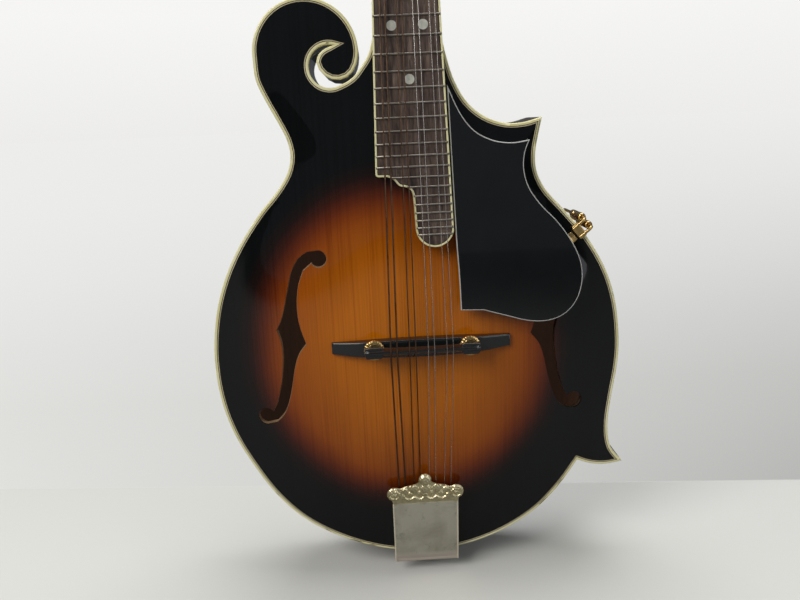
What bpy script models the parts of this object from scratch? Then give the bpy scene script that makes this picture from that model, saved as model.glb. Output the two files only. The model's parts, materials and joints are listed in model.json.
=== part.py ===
"""An F-style mandolin with a scroll body, built as separate named pieces.

Frame: the origin is the middle of the end pin's flat outer face, +Z runs up the centreline to the
headstock, the soundboard faces -Y and +X is the treble side. Sizes are millimetres, and MM turns
them into the scene's metres.

Most shapes are drawn in one of four flat frames, each a point (across, along, out):
  body_point       across = X, along = height above the tail end, out = above the soundboard's edge
  neck_point       the frets' plane, along = distance from the bridge end of the scale
  head_point       the headstock's front, along = distance from the nut end
  tailpiece_point  the tailpiece cover's top, along = distance from its end lip
"""

import itertools
import math

import bmesh
import bpy
import numpy as np
from mathutils import Matrix, Vector
from mathutils.geometry import delaunay_2d_cdt

MM = 0.001
GAP = 0.3

# Body
TAIL_HEIGHT = 13.0
BODY_DEPTH = 45.0
EDGE_THICKNESS = 5.0
PLATE_THICKNESS = 4.2
TOP_RISE = 12.0
BACK_RISE = 11.0
ARCH_REACH = 66.0
RIB_THICKNESS = 2.3
BINDING_WIDTH = 1.8
LINING_WIDTH = 5.0
LINING_HEIGHT = 8.0
NECK_JOINT = 326.0
HEAD_BLOCK_END = 283.0
PLATE_SPACING = 15.0
MORTISE_HALF = 9.0
TENON_END = 304.0
TENON_LOW = -38.0
PIN_RADIUS = 3.6
TAIL_BLOCK_HALF = 20.0
TAIL_BLOCK_DEPTH = 20.0
TONE_BAR_LOW = 62.0
TONE_BAR_HIGH = 256.0
TONE_BAR_SPREAD_LOW = 44.0
TONE_BAR_SPREAD_HIGH = 22.0
TONE_BAR_WIDTH = 6.0
TONE_BAR_HEIGHT = 8.0
TONE_BAR_GAP = 0.5
TONE_BAR_STATIONS = 11

# Neck and fretboard
SCALE_LENGTH = 352.4
SCALE_END_ALONG = 150.5
SCALE_END_OUT = 25.7
NECK_ANGLE = math.radians(5.1)
FRET_HEIGHT = 1.0
FRETBOARD_THICKNESS = 6.0
NUT_HALF_WIDTH = 14.5
FRETBOARD_FLARE = 0.0279
FRETBOARD_BINDING = 1.5
NUT_LENGTH = 4.4
NECK_TOP = -(FRET_HEIGHT + FRETBOARD_THICKNESS + GAP)
NECK_SECTION_POINTS = 13
NUT_TOP = 0.15
TONGUE_END = 252.0
TONGUE_HALF = 15.0
ROD_START = 193.0
ROD_PAST_HEAD_START = 12.0
ROD_THREAD = 16.0
ROD_RADIUS = 2.4
ROD_TIP = 1.8
ROD_CHANNEL_HALF = 3.1
ROD_CHANNEL_DEPTH = 8.0
ROD_NUT_RADIUS = 3.4
ROD_NUT_LENGTH = 7.0
ROD_COVER_THICKNESS = 1.6
POCKET_HALF = 5.5
POCKET_END = 22.0
POCKET_FLOOR = -8.5

# Headstock and tuners
HEAD_ANGLE = math.radians(14.0)
HEAD_START = SCALE_LENGTH + NUT_LENGTH
HEAD_FRONT = 2.0
HEAD_BACK = -13.5
POST_ACROSS = 19.8
FIRST_POST = 36.0
POST_SPACING = 23.0
POSTS_PER_SIDE = 4
POST_RADIUS = 3.0
POST_TOP = 11.5
POST_FOOT = 0.8
POST_FOOT_RADIUS = 2.0
GEAR_TEETH = 14
GEAR_PITCH_RADIUS = 6.0
GEAR_THICKNESS = 2.0
WORM_PITCH_RADIUS = 2.9
WORM_ADDENDUM = 0.5
WORM_DEDENDUM = 0.8
WORM_THREAD_FOOT = 1.5
WORM_THREAD_LAND = 0.7
WORM_LEAD = 2 * math.pi * GEAR_PITCH_RADIUS / GEAR_TEETH
WORM_SHAFT_RADIUS = 1.4
WORM_SHAFT_INNER = 7.4
WORM_OFFSET = GEAR_PITCH_RADIUS + WORM_PITCH_RADIUS
PLATE_METAL = 1.2
WORM_LEVEL = -19.2
BUTTON_START = 43.0
BUTTON_FLATNESS = 0.62
BUTTON_SHAPE = [(0, 0), (2.6, 0), (4.9, 3), (5.4, 6.5), (4.6, 10), (2.4, 12), (0, 12.4)]
WORM_STEPS = 12
WORM_TURNS = 2
WORM_PHASE = -math.pi / 2
PLATE_HALF_WIDTH = 7.3
EAR_ACROSS = 5.4
EAR_THICKNESS = 1.6
STRING_AT_POST = 6.5

# Bridge
BRIDGE_ALONG = 149.0
BRIDGE_ACROSS = 1.0
BRIDGE_HALF_LENGTH = 54.0
WHEEL_ACROSS = 28.5
WHEEL_RADIUS = 6.2
WHEEL_THICKNESS = 2.4
BASE_TOP = 18.6
WHEEL_BOTTOM = 19.8
SADDLE_HALF_LENGTH = 34.0
SADDLE_THICKNESS = 6.0
SADDLE_HEIGHT = 6.2
SADDLE_BOTTOM = WHEEL_BOTTOM + WHEEL_THICKNESS + GAP
SADDLE_TOP = SADDLE_BOTTOM + SADDLE_HEIGHT
STUD_RADIUS = 1.7
STUD_DEPTH = 5.0
STUD_TOP = 25.8
SADDLE_DROP = 0.8
BASE_END_TOP = 13.6

# Tailpiece
COVER_START_ALONG = -4.0
COVER_START_OUT = 6.8
COVER_ANGLE = math.atan(0.15)
COVER_HALF_WIDTH = 21.0
COVER_METAL = 1.0
COVER_SIDE_LENGTH = 48.0
COVER_SIDE_OUT = -4.2
COVER_LIP_OUT = -6.2
COVER_CROWN = [(24, 51.5), (24.4, 55.5), (21.5, 59.2), (16.5, 60), (11, 61.2), (7, 62.5), (4.4, 67.2), (0, 69)]
TAB_HALF = 12.0
TAB_LOW = -34.0
BASE_PLATE_OUT = -4.6
TAILPIECE_BASE_PLAN = [(-12, 1.2), (12, 1.2), (17.5, 6), (17.5, 36), (-17.5, 36), (-17.5, 6)]
HOOK_ALONG = 27.0
HOOK_HALF = 0.7
HOOK_OUT = -2.2

# Pickguard and its clamp
GUARD_TOP = -2.4
GUARD_THICKNESS = 1.8
CLAMP_PLACE = (101.0, 212.6)
CLAMP_DIRECTION = math.radians(129.5)
CLAMP_LEG_OUTWARD = 5.4
CLAMP_HALF_SPACING = 3.3
CLAMP_ROD_RADIUS = 1.0
CLAMP_FOOT_LEVEL = 1.9
CLAMP_FOOT_THICKNESS = 1.7
CLAMP_FOOT_HALF = 4.7
CLAMP_FOOT_DEPTH = 4.8
CLAMP_ARM_WIDTH = 6.0
CLAMP_ARM_THICKNESS = 1.4
BARREL_RADIUS = 2.4
BARREL_BOTTOM = -26.0
BARREL_LENGTH = 21.0
CLAMP_THREAD_IN = 6.0

# Strings, from the bass side, in pairs
STRING_RADII = (0.52, 0.52, 0.41, 0.41, 0.3, 0.3, 0.25, 0.25)
COURSE_AT_NUT = 7.3
PAIR_AT_NUT = 2.3
COURSE_AT_SADDLE = 11.0
PAIR_AT_SADDLE = 3.7
COURSE_AT_TAIL = 9.2
PAIR_AT_TAIL = 4.2

# Body outline as (across, along), counter-clockwise from the corner below the lower point.
LOWER_CORNER = (101.4, 59.8)
LOWER_TIP = (131, 57.2)
UPPER_TIP = (77, 279)
SLOT_TIP = (-41.2, 323.2)
LOWER_POINT_UNDER = [(106.5, 57.7), (113, 56), (121, 55.6)]
LOWER_POINT_TOP = [(127.2, 61.6), (123.3, 67.5), (121.2, 76), (121, 88)]
TREBLE_SIDE = [(123, 105), (125.8, 124), (126.4, 141), (123.6, 165), (117, 186), (105, 207)]
TREBLE_WAIST = [(90, 225), (79, 237.4), (73.8, 248.5), (73.1, 259), (75, 270)]
TREBLE_SHOULDER = [(66, 276.4), (55, 276.6), (43, 281), (33, 289.6), (26.2, 301.5), (22.2, 314)]
NECK_EDGE = [(19.4, NECK_JOINT), (-19.4, NECK_JOINT)]
SLOT_MOUTH = [(-22.2, 317.5), (-26.3, 311.4), (-32.2, 304.9)]
SLOT_OUTER = dict(centre=(-44.6, 311.8), radius=11.7, start=-72, end=-262, count=9)
BUTTON_TOP = [(-46, 321.6), (-49.8, 318.8)]
BUTTON = dict(centre=(-40.3, 315.9), radius=11.6, start=188, end=342, count=8)
SCROLL = dict(centre=(-57.6, 319.2), radius=29.8, start=0, end=186, count=13)
BASS_SHOULDER = [(-86.6, 306), (-82.2, 294.8), (-76.2, 282.6), (-71.6, 272)]
BASS_WAIST = [(-70.3, 262.5), (-73, 253), (-80, 242.8), (-91.5, 230)]
BASS_SIDE = [(-105, 211.5), (-115.8, 191), (-123.2, 168), (-126.8, 141), (-125.2, 114)]
BASS_BOUT = [(-119.3, 91), (-109.5, 69.5), (-96, 47), (-78, 27.6), (-54, 12.6), (-27, 2.9)]
TREBLE_BOUT = [(0, 0), (25, 2.2), (51, 11.2), (74, 25.8), (90, 43)]
BEHIND_LOWER_POINT = [(97, 54), (107, 71), (116, 89)]

F_HOLE_LOBES = (dict(centre=(58, 203), radius=5.2), dict(centre=(96.8, 103.8), radius=5.6))
F_HOLE_OUTER = [(64.5, 207.4), (70, 203.6), (74.8, 195.5), (78, 184), (81.2, 172), (83.6, 165)]
F_HOLE_OUTER_LOW = [(86.2, 160.4), (84, 153), (83.6, 144), (84.6, 134), (86.6, 123.5), (90, 112)]
F_HOLE_INNER = [(90.4, 100), (85.2, 106), (81.4, 115.5), (78.8, 125.5), (76, 138), (73, 145.4)]
F_HOLE_INNER += [(68.2, 151.2)]
F_HOLE_INNER_HIGH = [(71, 160), (72.4, 169), (72.2, 179), (70.6, 188), (67.4, 196)]

FRETBOARD_SHOULDER = 99.6
FLORIDA_STEPS = [(-14.8, FRETBOARD_SHOULDER), (-11.4, 97.8), (-8.2, 94.2), (-4.2, 93.3), (-1.3, 90.8)]
FLORIDA_STEPS += [(-0.5, 84), (0, 71.5)]
FLORIDA_ROUND = dict(centre=(11.1, 69.6), radius=11.0, start=180, end=350, count=8)

PICKGUARD_TOP_EDGE = [(21.0, 149), (27.8, 133.5), (35.5, 123.4), (46, 117.6), (57, 115.8), (67, 117)]
PICKGUARD_WAIST = [(64.2, 110), (63.4, 101), (66, 90.5), (73, 80), (82.5, 69.8), (91, 57.5)]
PICKGUARD_BELLY = [(95.8, 46), (96.6, 35), (93.5, 24), (86.5, 15.8), (77, 12), (65, 12.2), (50, 16.4)]
PICKGUARD_CORNER = [(38, 20), (24.6, 20.6), (24.2, 40), (23.2, 62)]

HEAD_TREBLE = [(NUT_HALF_WIDTH, 0), (17, 7), (23.5, 14.5), (30, 22), (33.6, 33), (35.4, 62), (37.4, 92)]
HEAD_POINT = [(40.4, 112), (44, 122.5), (36, 121), (28, 124.5), (19, 131.5), (8, 135), (-4, 133.4)]
HEAD_VALLEY = [(-13, 129.5), (-18.2, 132.2)]
HEAD_CURL = dict(centre=(-30.5, 134.5), radius=12.4, start=8, end=188, count=9)
HEAD_BASS = [(-41.6, 122), (-38.8, 106), (-37.2, 90), (-35.4, 62), (-33.6, 33), (-30, 22)]
HEAD_BASS += [(-23.5, 14.5), (-17, 7)]


# Frames

def body_point(across, along, out):
    return (across, -out - BODY_DEPTH / 2, along + TAIL_HEIGHT)


def neck_point(across, along, out):
    up = SCALE_END_ALONG + along * math.cos(NECK_ANGLE) + out * math.sin(NECK_ANGLE)
    forward = SCALE_END_OUT - along * math.sin(NECK_ANGLE) + out * math.cos(NECK_ANGLE)
    return body_point(across, up, forward)


def head_point(across, along, out):
    up = HEAD_START + along * math.cos(HEAD_ANGLE) + out * math.sin(HEAD_ANGLE)
    forward = NECK_TOP - along * math.sin(HEAD_ANGLE) + out * math.cos(HEAD_ANGLE)
    return neck_point(across, up, forward)


def tailpiece_point(across, along, out):
    up = COVER_START_ALONG + along * math.cos(COVER_ANGLE) - out * math.sin(COVER_ANGLE)
    forward = COVER_START_OUT + along * math.sin(COVER_ANGLE) + out * math.cos(COVER_ANGLE)
    return body_point(across, up, forward)


def frame_matrix(frame, origin):
    """The matrix that takes a point (across, along, out) from origin in a flat frame to millimetres."""
    start = Vector(frame(*origin))
    columns = [Vector(frame(*(np.add(origin, step)))) - start for step in np.eye(3)]
    matrix = Matrix.Translation(start)
    for index, column in enumerate(columns):
        for row in range(3):
            matrix[row][index] = column[row]
    return matrix


# Curves

def arc(centre, radius, start, end, count):
    """Points along a circle between two angles in degrees."""
    angles = np.radians(np.linspace(start, end, count))
    return [(centre[0] + radius * math.cos(a), centre[1] + radius * math.sin(a)) for a in angles]


def circle(centre, radius, count, turn=0.0):
    angles = np.linspace(0, 2 * np.pi, count, endpoint=False) + turn
    return [(centre[0] + radius * math.cos(a), centre[1] + radius * math.sin(a)) for a in angles]


def smooth(points, spacing, closed=True):
    """A spline through the points, sampled about every spacing, keeping the points themselves."""
    points = [np.array(point, float) for point in points]
    count = len(points)
    result = []
    for i in range(count if closed else count - 1):
        here = points[i]
        after = points[(i + 1) % count]
        before = points[i - 1] if closed or i else here
        beyond = points[(i + 2) % count] if closed or i + 2 < count else after
        chord = np.linalg.norm(after - here)
        leave = (after - before) * chord / (chord + np.linalg.norm(here - before))
        arrive = (beyond - here) * chord / (chord + np.linalg.norm(beyond - after))
        steps = max(1, round(chord / spacing))
        for t in np.arange(steps) / steps:
            blend = (2 * t**3 - 3 * t**2 + 1, t**3 - 2 * t**2 + t, 3 * t**2 - 2 * t**3, t**3 - t**2)
            result.append(tuple(blend[0] * here + blend[1] * leave + blend[2] * after + blend[3] * arrive))
    return result if closed else result + [tuple(points[-1])]


def offset(points, distance, closed=True):
    """The points moved to the left of their own direction by distance, with mitred corners."""
    path = np.array(points, float)
    if closed:
        before, after = np.roll(path, 1, axis=0), np.roll(path, -1, axis=0)
    else:
        before = np.vstack([2 * path[0] - path[1], path[:-1]])
        after = np.vstack([path[1:], 2 * path[-1] - path[-2]])
    first, second = path - before, after - path
    first /= np.linalg.norm(first, axis=1)[:, None]
    second /= np.linalg.norm(second, axis=1)[:, None]
    normals = np.stack([-(first + second)[:, 1], (first + second)[:, 0]], axis=1)
    lengths = np.linalg.norm(normals, axis=1)
    scale = 2 * distance / np.maximum(lengths, 0.9) ** 2
    return [tuple(point) for point in path + normals * scale[:, None]]


def inside(points, polygon):
    """Which of the points lie inside the polygon."""
    points, polygon = np.array(points, float), np.array(polygon, float)
    result = np.zeros(len(points), bool)
    for (x0, y0), (x1, y1) in zip(polygon, np.roll(polygon, -1, axis=0)):
        crosses = (y0 > points[:, 1]) != (y1 > points[:, 1])
        if y0 != y1:
            result ^= crosses & (points[:, 0] < (x1 - x0) * (points[:, 1] - y0) / (y1 - y0) + x0)
    return result


def smoothstep(value):
    t = np.clip(value, 0, 1)
    return t * t * (3 - 2 * t)


def body_outline():
    """The body's edge, counter-clockwise, as splines between its sharp corners."""
    bass = BASS_SHOULDER + BASS_WAIST + BASS_SIDE + BASS_BOUT + TREBLE_BOUT
    stretches = (
        ([LOWER_CORNER, *LOWER_POINT_UNDER, LOWER_TIP], 12),
        ([LOWER_TIP, *LOWER_POINT_TOP, *TREBLE_SIDE, *TREBLE_WAIST, UPPER_TIP], 13),
        ([UPPER_TIP, *TREBLE_SHOULDER, NECK_EDGE[0]], 9),
        ([NECK_EDGE[1], *SLOT_MOUTH, *arc(**SLOT_OUTER), SLOT_TIP], 6),
        ([SLOT_TIP, *BUTTON_TOP, *arc(**BUTTON), *arc(**SCROLL), *bass, LOWER_CORNER], 14),
    )
    outline = []
    for points, spacing in stretches:
        stretch = smooth(points, spacing, closed=False)
        last_is_shared = points[-1] != NECK_EDGE[0]
        outline += stretch[:-1] if last_is_shared else stretch
    return outline


def cavity_path():
    """The inside of the ribs, passing the two points, from the head block down, round and back up."""
    bass = [BASS_SHOULDER[-1], *BASS_WAIST, *BASS_SIDE, *BASS_BOUT]
    treble = [*TREBLE_BOUT, *BEHIND_LOWER_POINT, *TREBLE_SIDE, *TREBLE_WAIST[:3]]
    return offset(smooth(bass + treble, 15, closed=False), RIB_THICKNESS + GAP, closed=False)


OUTLINE = body_outline()


def edge_samples(spacing=1.5):
    """Points along the body's edge and the length that each stands for."""
    points, lengths = [], []
    for start, end in zip(OUTLINE, OUTLINE[1:] + OUTLINE[:1]):
        start, end = np.array(start), np.array(end)
        length = np.linalg.norm(end - start)
        count = max(1, round(length / spacing))
        points += [start + (end - start) * (i + 0.5) / count for i in range(count)]
        lengths += [length / count] * count
    return np.array(points), np.array(lengths)


EDGE, EDGE_LENGTHS = edge_samples()


def edge_distance(across, along):
    """A smooth distance to the body's edge: exact beside it, and without ridges in the middle."""
    apart = np.maximum(np.hypot(EDGE[:, 0] - across, EDGE[:, 1] - along), 0.75)
    return np.sum(0.5 * EDGE_LENGTHS / apart**3) ** -0.5


def arch(across, along, rise):
    """How far a plate stands out above its edge."""
    return rise * float(smoothstep(edge_distance(across, along) / ARCH_REACH))


def top_surface(across, along):
    return arch(across, along, TOP_RISE)


def plate_inside(across, along, rise):
    """The inner face: flat where ribs and blocks are glued, then parallel to the arch."""
    outer = arch(across, along, rise)
    free = smoothstep((edge_distance(across, along) - 9) / 12)
    free *= 1 - smoothstep((along - HEAD_BLOCK_END + 18) / 12)
    free *= smoothstep((along - 20) / 10)
    return float(-EDGE_THICKNESS + (outer - PLATE_THICKNESS + EDGE_THICKNESS) * free)


# Solids

def material(name, colour, roughness, metallic=0.0):
    if name in bpy.data.materials:
        return bpy.data.materials[name]
    made = bpy.data.materials.new(name)
    made.use_nodes = True
    shader = made.node_tree.nodes["Principled BSDF"]
    shader.inputs["Base Color"].default_value = (*colour, 1)
    shader.inputs["Roughness"].default_value = roughness
    shader.inputs["Metallic"].default_value = metallic
    made.diffuse_color = (*colour, 1)
    return made


def sunburst_spruce():
    return material("sunburst_spruce", (0.22, 0.075, 0.012), 0.18)


def dark_maple():
    return material("dark_maple", (0.09, 0.03, 0.012), 0.2)


def bare_wood():
    return material("bare_wood", (0.55, 0.38, 0.2), 0.7)


def ivory():
    return material("ivory_binding", (0.75, 0.66, 0.4), 0.35)


def rosewood():
    return material("rosewood", (0.075, 0.04, 0.032), 0.55)


def ebony():
    return material("ebony", (0.012, 0.012, 0.013), 0.45)


def gold():
    return material("gold_plate", (0.83, 0.6, 0.28), 0.22, 1.0)


def nickel():
    return material("champagne_plate", (0.68, 0.6, 0.46), 0.25, 1.0)


def steel():
    return material("string_steel", (0.6, 0.58, 0.55), 0.3, 1.0)


def black_plastic():
    return material("black_plastic", (0.01, 0.01, 0.011), 0.12)


def bone():
    return material("bone", (0.8, 0.76, 0.66), 0.4)


def make_object(name, mesh_data, finish, origin=(0, 0, 0)):
    """An object from (points in millimetres, faces), with its origin at a point on its joint's axis."""
    points, faces = mesh_data
    mesh = bpy.data.meshes.new(name)
    mesh.from_pydata([tuple((np.array(p) - origin) * MM) for p in points], [], [tuple(f) for f in faces])
    builder = bmesh.new()
    builder.from_mesh(mesh)
    bmesh.ops.remove_doubles(builder, verts=builder.verts, dist=1e-7)
    bmesh.ops.recalc_face_normals(builder, faces=builder.faces)
    builder.to_mesh(mesh)
    builder.free()
    mesh.shade_smooth()
    mesh.set_sharp_from_angle(angle=math.radians(35))
    made = bpy.data.objects.new(name, mesh)
    made.location = tuple(np.array(origin) * MM)
    mesh.materials.append(finish)
    bpy.context.scene.collection.objects.link(made)
    return made


def grid_points(outer, holes, spacing):
    """A hexagonal grid of points inside a region, clear of its edges."""
    low, high = np.min(outer, axis=0), np.max(outer, axis=0)
    rows = np.arange(low[1], high[1], spacing * 0.866)
    columns = np.arange(low[0], high[0], spacing)
    grid = np.array([(x + (i % 2) * spacing / 2, y) for i, y in enumerate(rows) for x in columns])
    keep = inside(grid, outer)
    for hole in holes:
        keep &= ~inside(grid, hole)
    grid = grid[keep]
    border = np.vstack([np.array(smooth(loop, 2)) for loop in [outer, *holes]])
    nearest = np.array([np.min(np.hypot(*(border - point).T)) for point in grid])
    return [tuple(point) for point in grid[nearest > 0.45 * spacing]]


def slab(outer, front, back, frame=body_point, holes=(), spacing=None):
    """A solid over a flat region, between two faces that are heights or functions of the place."""
    loops = [outer, *holes]
    extra = grid_points(outer, holes, spacing) if spacing else []
    plan = [Vector(point) for loop in loops for point in loop] + [Vector(point) for point in extra]
    edges = []
    start = 0
    for loop in loops:
        edges += [(start + i, start + (i + 1) % len(loop)) for i in range(len(loop))]
        start += len(loop)
    flat, _, triangles, *_ = delaunay_2d_cdt(plan, edges, [], 1, 1e-5)
    flat = np.array([tuple(point) for point in flat])
    middles = np.array([flat[list(face)].mean(axis=0) for face in triangles])
    keep = inside(middles, outer)
    for hole in holes:
        keep &= ~inside(middles, hole)
    triangles = [face for face, kept in zip(triangles, keep) if kept]
    count = len(flat)
    front_height = front if callable(front) else lambda x, y: front
    back_height = back if callable(back) else lambda x, y: back
    points = [frame(x, y, front_height(x, y)) for x, y in flat]
    points += [frame(x, y, back_height(x, y)) for x, y in flat]
    faces = [tuple(face) for face in triangles]
    faces += [tuple(i + count for i in reversed(face)) for face in triangles]
    directed = {(a, b) for face in triangles for a, b in zip(face, (*face[1:], face[0]))}
    faces += [(b, a, a + count, b + count) for a, b in directed if (b, a) not in directed]
    return points, faces


def lathe(profile, matrix, count=12):
    """A turned solid: profile is (radius, height) from one end on the axis to the other."""
    points, faces = [], []
    for radius, height in profile:
        ring = circle((0, 0), radius, count) if radius > 0 else [(0, 0)]
        points.append([matrix @ Vector((x, y, height)) for x, y in ring])
    starts = np.cumsum([0] + [len(ring) for ring in points])
    for i in range(len(points) - 1):
        here, after = starts[i], starts[i + 1]
        for j in range(count):
            k = (j + 1) % count
            corners = [here + j % len(points[i]), here + k % len(points[i])]
            corners += [after + k % len(points[i + 1]), after + j % len(points[i + 1])]
            faces.append(tuple(dict.fromkeys(int(c) for c in corners)))
    return [tuple(p) for ring in points for p in ring], faces


def bored(profile, bore, matrix, count=12):
    """A turned solid with a straight hole: profile is its outer side, from one end to the other."""
    whole = [(bore, profile[0][1]), *profile, (bore, profile[-1][1])]
    points, faces = [], []
    for radius, height in whole:
        points += [tuple(matrix @ Vector((x, y, height))) for x, y in circle((0, 0), radius, count)]
    for i in range(len(whole)):
        for j in range(count):
            k = (j + 1) % count
            after = (i + 1) % len(whole)
            faces.append((i * count + j, i * count + k, after * count + k, after * count + j))
    return points, faces


def block(frame, low, high):
    """A box between two corners of a flat frame."""
    points = [frame(*corner) for corner in itertools.product(*zip(low, high))]
    faces = [(0, 1, 3, 2), (4, 6, 7, 5), (0, 4, 5, 1), (2, 3, 7, 6), (0, 2, 6, 4), (1, 5, 7, 3)]
    return points, faces


def loft(sections):
    """A solid through closed sections that have the same number of points."""
    count = len(sections[0])
    points = [point for section in sections for point in section]
    faces = [tuple(range(count)), tuple(range(len(points) - 1, len(points) - count - 1, -1))]
    for i in range(len(sections) - 1):
        for j in range(count):
            k = (j + 1) % count
            faces.append((i * count + k, i * count + j, (i + 1) * count + j, (i + 1) * count + k))
    return points, faces


def combine(target, others, operation):
    """A Boolean of target with other solids, applied. The others are removed."""
    for other in others:
        modifier = target.modifiers.new(other.name, "BOOLEAN")
        modifier.operation = operation
        modifier.object = other
    bpy.context.view_layer.update()
    graph = bpy.context.evaluated_depsgraph_get()
    made = bpy.data.meshes.new_from_object(target.evaluated_get(graph))
    target.modifiers.clear()
    old, target.data = target.data, made
    bpy.data.meshes.remove(old)
    made.name = target.name
    for other in others:
        bpy.data.objects.remove(other)
    return target


def helper(name, mesh_data):
    made = make_object(name, mesh_data, bare_wood())
    made.hide_render = True
    made.display_type = "WIRE"
    return made


# The body

def make_plate(name, rise, side, f_holes, finish):
    """A carved plate. side is 1 for the soundboard and -1 for the back."""
    middle = -BODY_DEPTH / 2

    def outer(across, along):
        return middle + side * (arch(across, along, rise) - middle)

    def inner(across, along):
        return middle + side * (plate_inside(across, along, rise) - middle)

    outline = offset(OUTLINE, BINDING_WIDTH + GAP)
    return make_object(name, slab(outline, outer, inner, holes=f_holes, spacing=PLATE_SPACING), finish)


def f_hole(side):
    """One f-hole's edge: side is -1 for the bass side and 1 for the treble side."""
    upper, lower = F_HOLE_LOBES
    top = arc(**upper, start=-33, end=-266, count=8)
    bottom = arc(**lower, start=138, end=-86, count=8)
    outer = smooth(F_HOLE_OUTER, 30, closed=False) + F_HOLE_OUTER_LOW
    points = F_HOLE_INNER + F_HOLE_INNER_HIGH + top + outer + bottom
    return [(side * x, y) for x, y in points]


def make_rim():
    inner = offset(OUTLINE, RIB_THICKNESS)
    front, back = -EDGE_THICKNESS - GAP, EDGE_THICKNESS + GAP - BODY_DEPTH
    rim = make_object("rim", slab(OUTLINE, front, back, holes=[inner]), dark_maple())
    mortise = helper("rim_mortise", block(body_point, (-MORTISE_HALF, 318, -60), (MORTISE_HALF, 334, 10)))
    return combine(rim, [mortise, pin_hole("rim_pin_hole")], "DIFFERENCE")


def pin_hole(name):
    matrix = frame_matrix(body_point, (0, -6, -BODY_DEPTH / 2)) @ Matrix.Rotation(math.radians(-90), 4, "X")
    return helper(name, lathe([(0, 0), (PIN_RADIUS + GAP, 0), (PIN_RADIUS + GAP, 40), (0, 40)], matrix))


def block_plan(keep):
    """The part of the space inside the ribs that keep says, as one stretch of its edge and a chord."""
    inner = offset(OUTLINE, RIB_THICKNESS + GAP)
    kept = [keep(x, y) for x, y in inner]
    first = next(i for i in range(len(inner)) if kept[i] and not kept[i - 1])
    return [inner[(first + i) % len(inner)] for i in range(sum(kept))]


def make_blocks():
    front, back = -EDGE_THICKNESS - GAP, EDGE_THICKNESS + GAP - BODY_DEPTH
    upper_end = block_plan(lambda x, y: y > HEAD_BLOCK_END)
    head = make_object("head_block", slab(upper_end, front, back), bare_wood())
    tenon_space = block(body_point, (-MORTISE_HALF, TENON_END - GAP, -60), (MORTISE_HALF, 340, 10))
    combine(head, [helper("head_mortise", tenon_space)], "DIFFERENCE")
    upper = block_plan(lambda x, y: x > 46 and 257 < y < HEAD_BLOCK_END)
    make_object("upper_point_block", slab(upper, front, back), bare_wood())
    lower = block_plan(lambda x, y: x > 102 and y < 84)
    make_object("lower_point_block", slab(lower, front, back), bare_wood())
    clear = LINING_HEIGHT + GAP
    tail_plan = block_plan(lambda x, y: abs(x) < TAIL_BLOCK_HALF and y < 10)
    tail_plan += [(TAIL_BLOCK_HALF, TAIL_BLOCK_DEPTH), (-TAIL_BLOCK_HALF, TAIL_BLOCK_DEPTH)]
    tail = make_object("tail_block", slab(tail_plan, front - clear, back + clear), bare_wood())
    combine(tail, [pin_hole("tail_pin_hole")], "DIFFERENCE")


def make_linings():
    path = cavity_path()
    plan = path + offset(path, LINING_WIDTH, closed=False)[::-1]
    front, back = -EDGE_THICKNESS - GAP, EDGE_THICKNESS + GAP - BODY_DEPTH
    make_object("top_lining", slab(plan, front, front - LINING_HEIGHT), bare_wood())
    make_object("back_lining", slab(plan, back + LINING_HEIGHT, back), bare_wood())


def make_bindings():
    inner = offset(OUTLINE, BINDING_WIDTH)
    make_object("top_binding", slab(OUTLINE, 0, -EDGE_THICKNESS, holes=[inner]), ivory())
    back = slab(OUTLINE, EDGE_THICKNESS - BODY_DEPTH, -BODY_DEPTH, holes=[inner])
    make_object("back_binding", back, ivory())


def make_tone_bar(name, side):
    """A bar glued along the inside of the soundboard, tapering towards both ends."""
    sections = []
    for part in np.linspace(0, 1, TONE_BAR_STATIONS):
        along = TONE_BAR_LOW + part * (TONE_BAR_HIGH - TONE_BAR_LOW)
        middle = side * (TONE_BAR_SPREAD_LOW + part * (TONE_BAR_SPREAD_HIGH - TONE_BAR_SPREAD_LOW))
        height = 4 + TONE_BAR_HEIGHT * math.sin(math.pi * part)
        left, right = middle - TONE_BAR_WIDTH / 2, middle + TONE_BAR_WIDTH / 2
        near = itertools.product((left, right), (along - 8, along, along + 8))
        top = min(plate_inside(*place, TOP_RISE) for place in near) - TONE_BAR_GAP
        corners = ((left, top), (left, top - height), (right, top - height), (right, top))
        sections.append([body_point(x, along, out) for x, out in corners])
    make_object(name, loft(sections), bare_wood())


def make_body():
    make_plate("soundboard", TOP_RISE, 1, [f_hole(-1), f_hole(1)], sunburst_spruce())
    make_plate("back_plate", BACK_RISE, -1, [], dark_maple())
    make_rim()
    make_blocks()
    make_linings()
    make_bindings()
    make_tone_bar("bass_tone_bar", -1)
    make_tone_bar("treble_tone_bar", 1)


# The neck

def fretboard_half(along):
    return NUT_HALF_WIDTH + FRETBOARD_FLARE * (SCALE_LENGTH - along)


def neck_section(along, top, depth, width_scale, squareness, lean):
    """A D-shaped section of the neck. lean moves each point along with its depth below the top."""
    half = width_scale * fretboard_half(along)
    section = []
    for angle in np.linspace(0, math.pi, NECK_SECTION_POINTS):
        across = half * math.copysign(abs(math.cos(angle)) ** squareness, math.cos(angle))
        down = depth * math.sin(angle) ** 0.85
        section.append(neck_point(across, along + lean * down, top - down))
    return section


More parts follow.
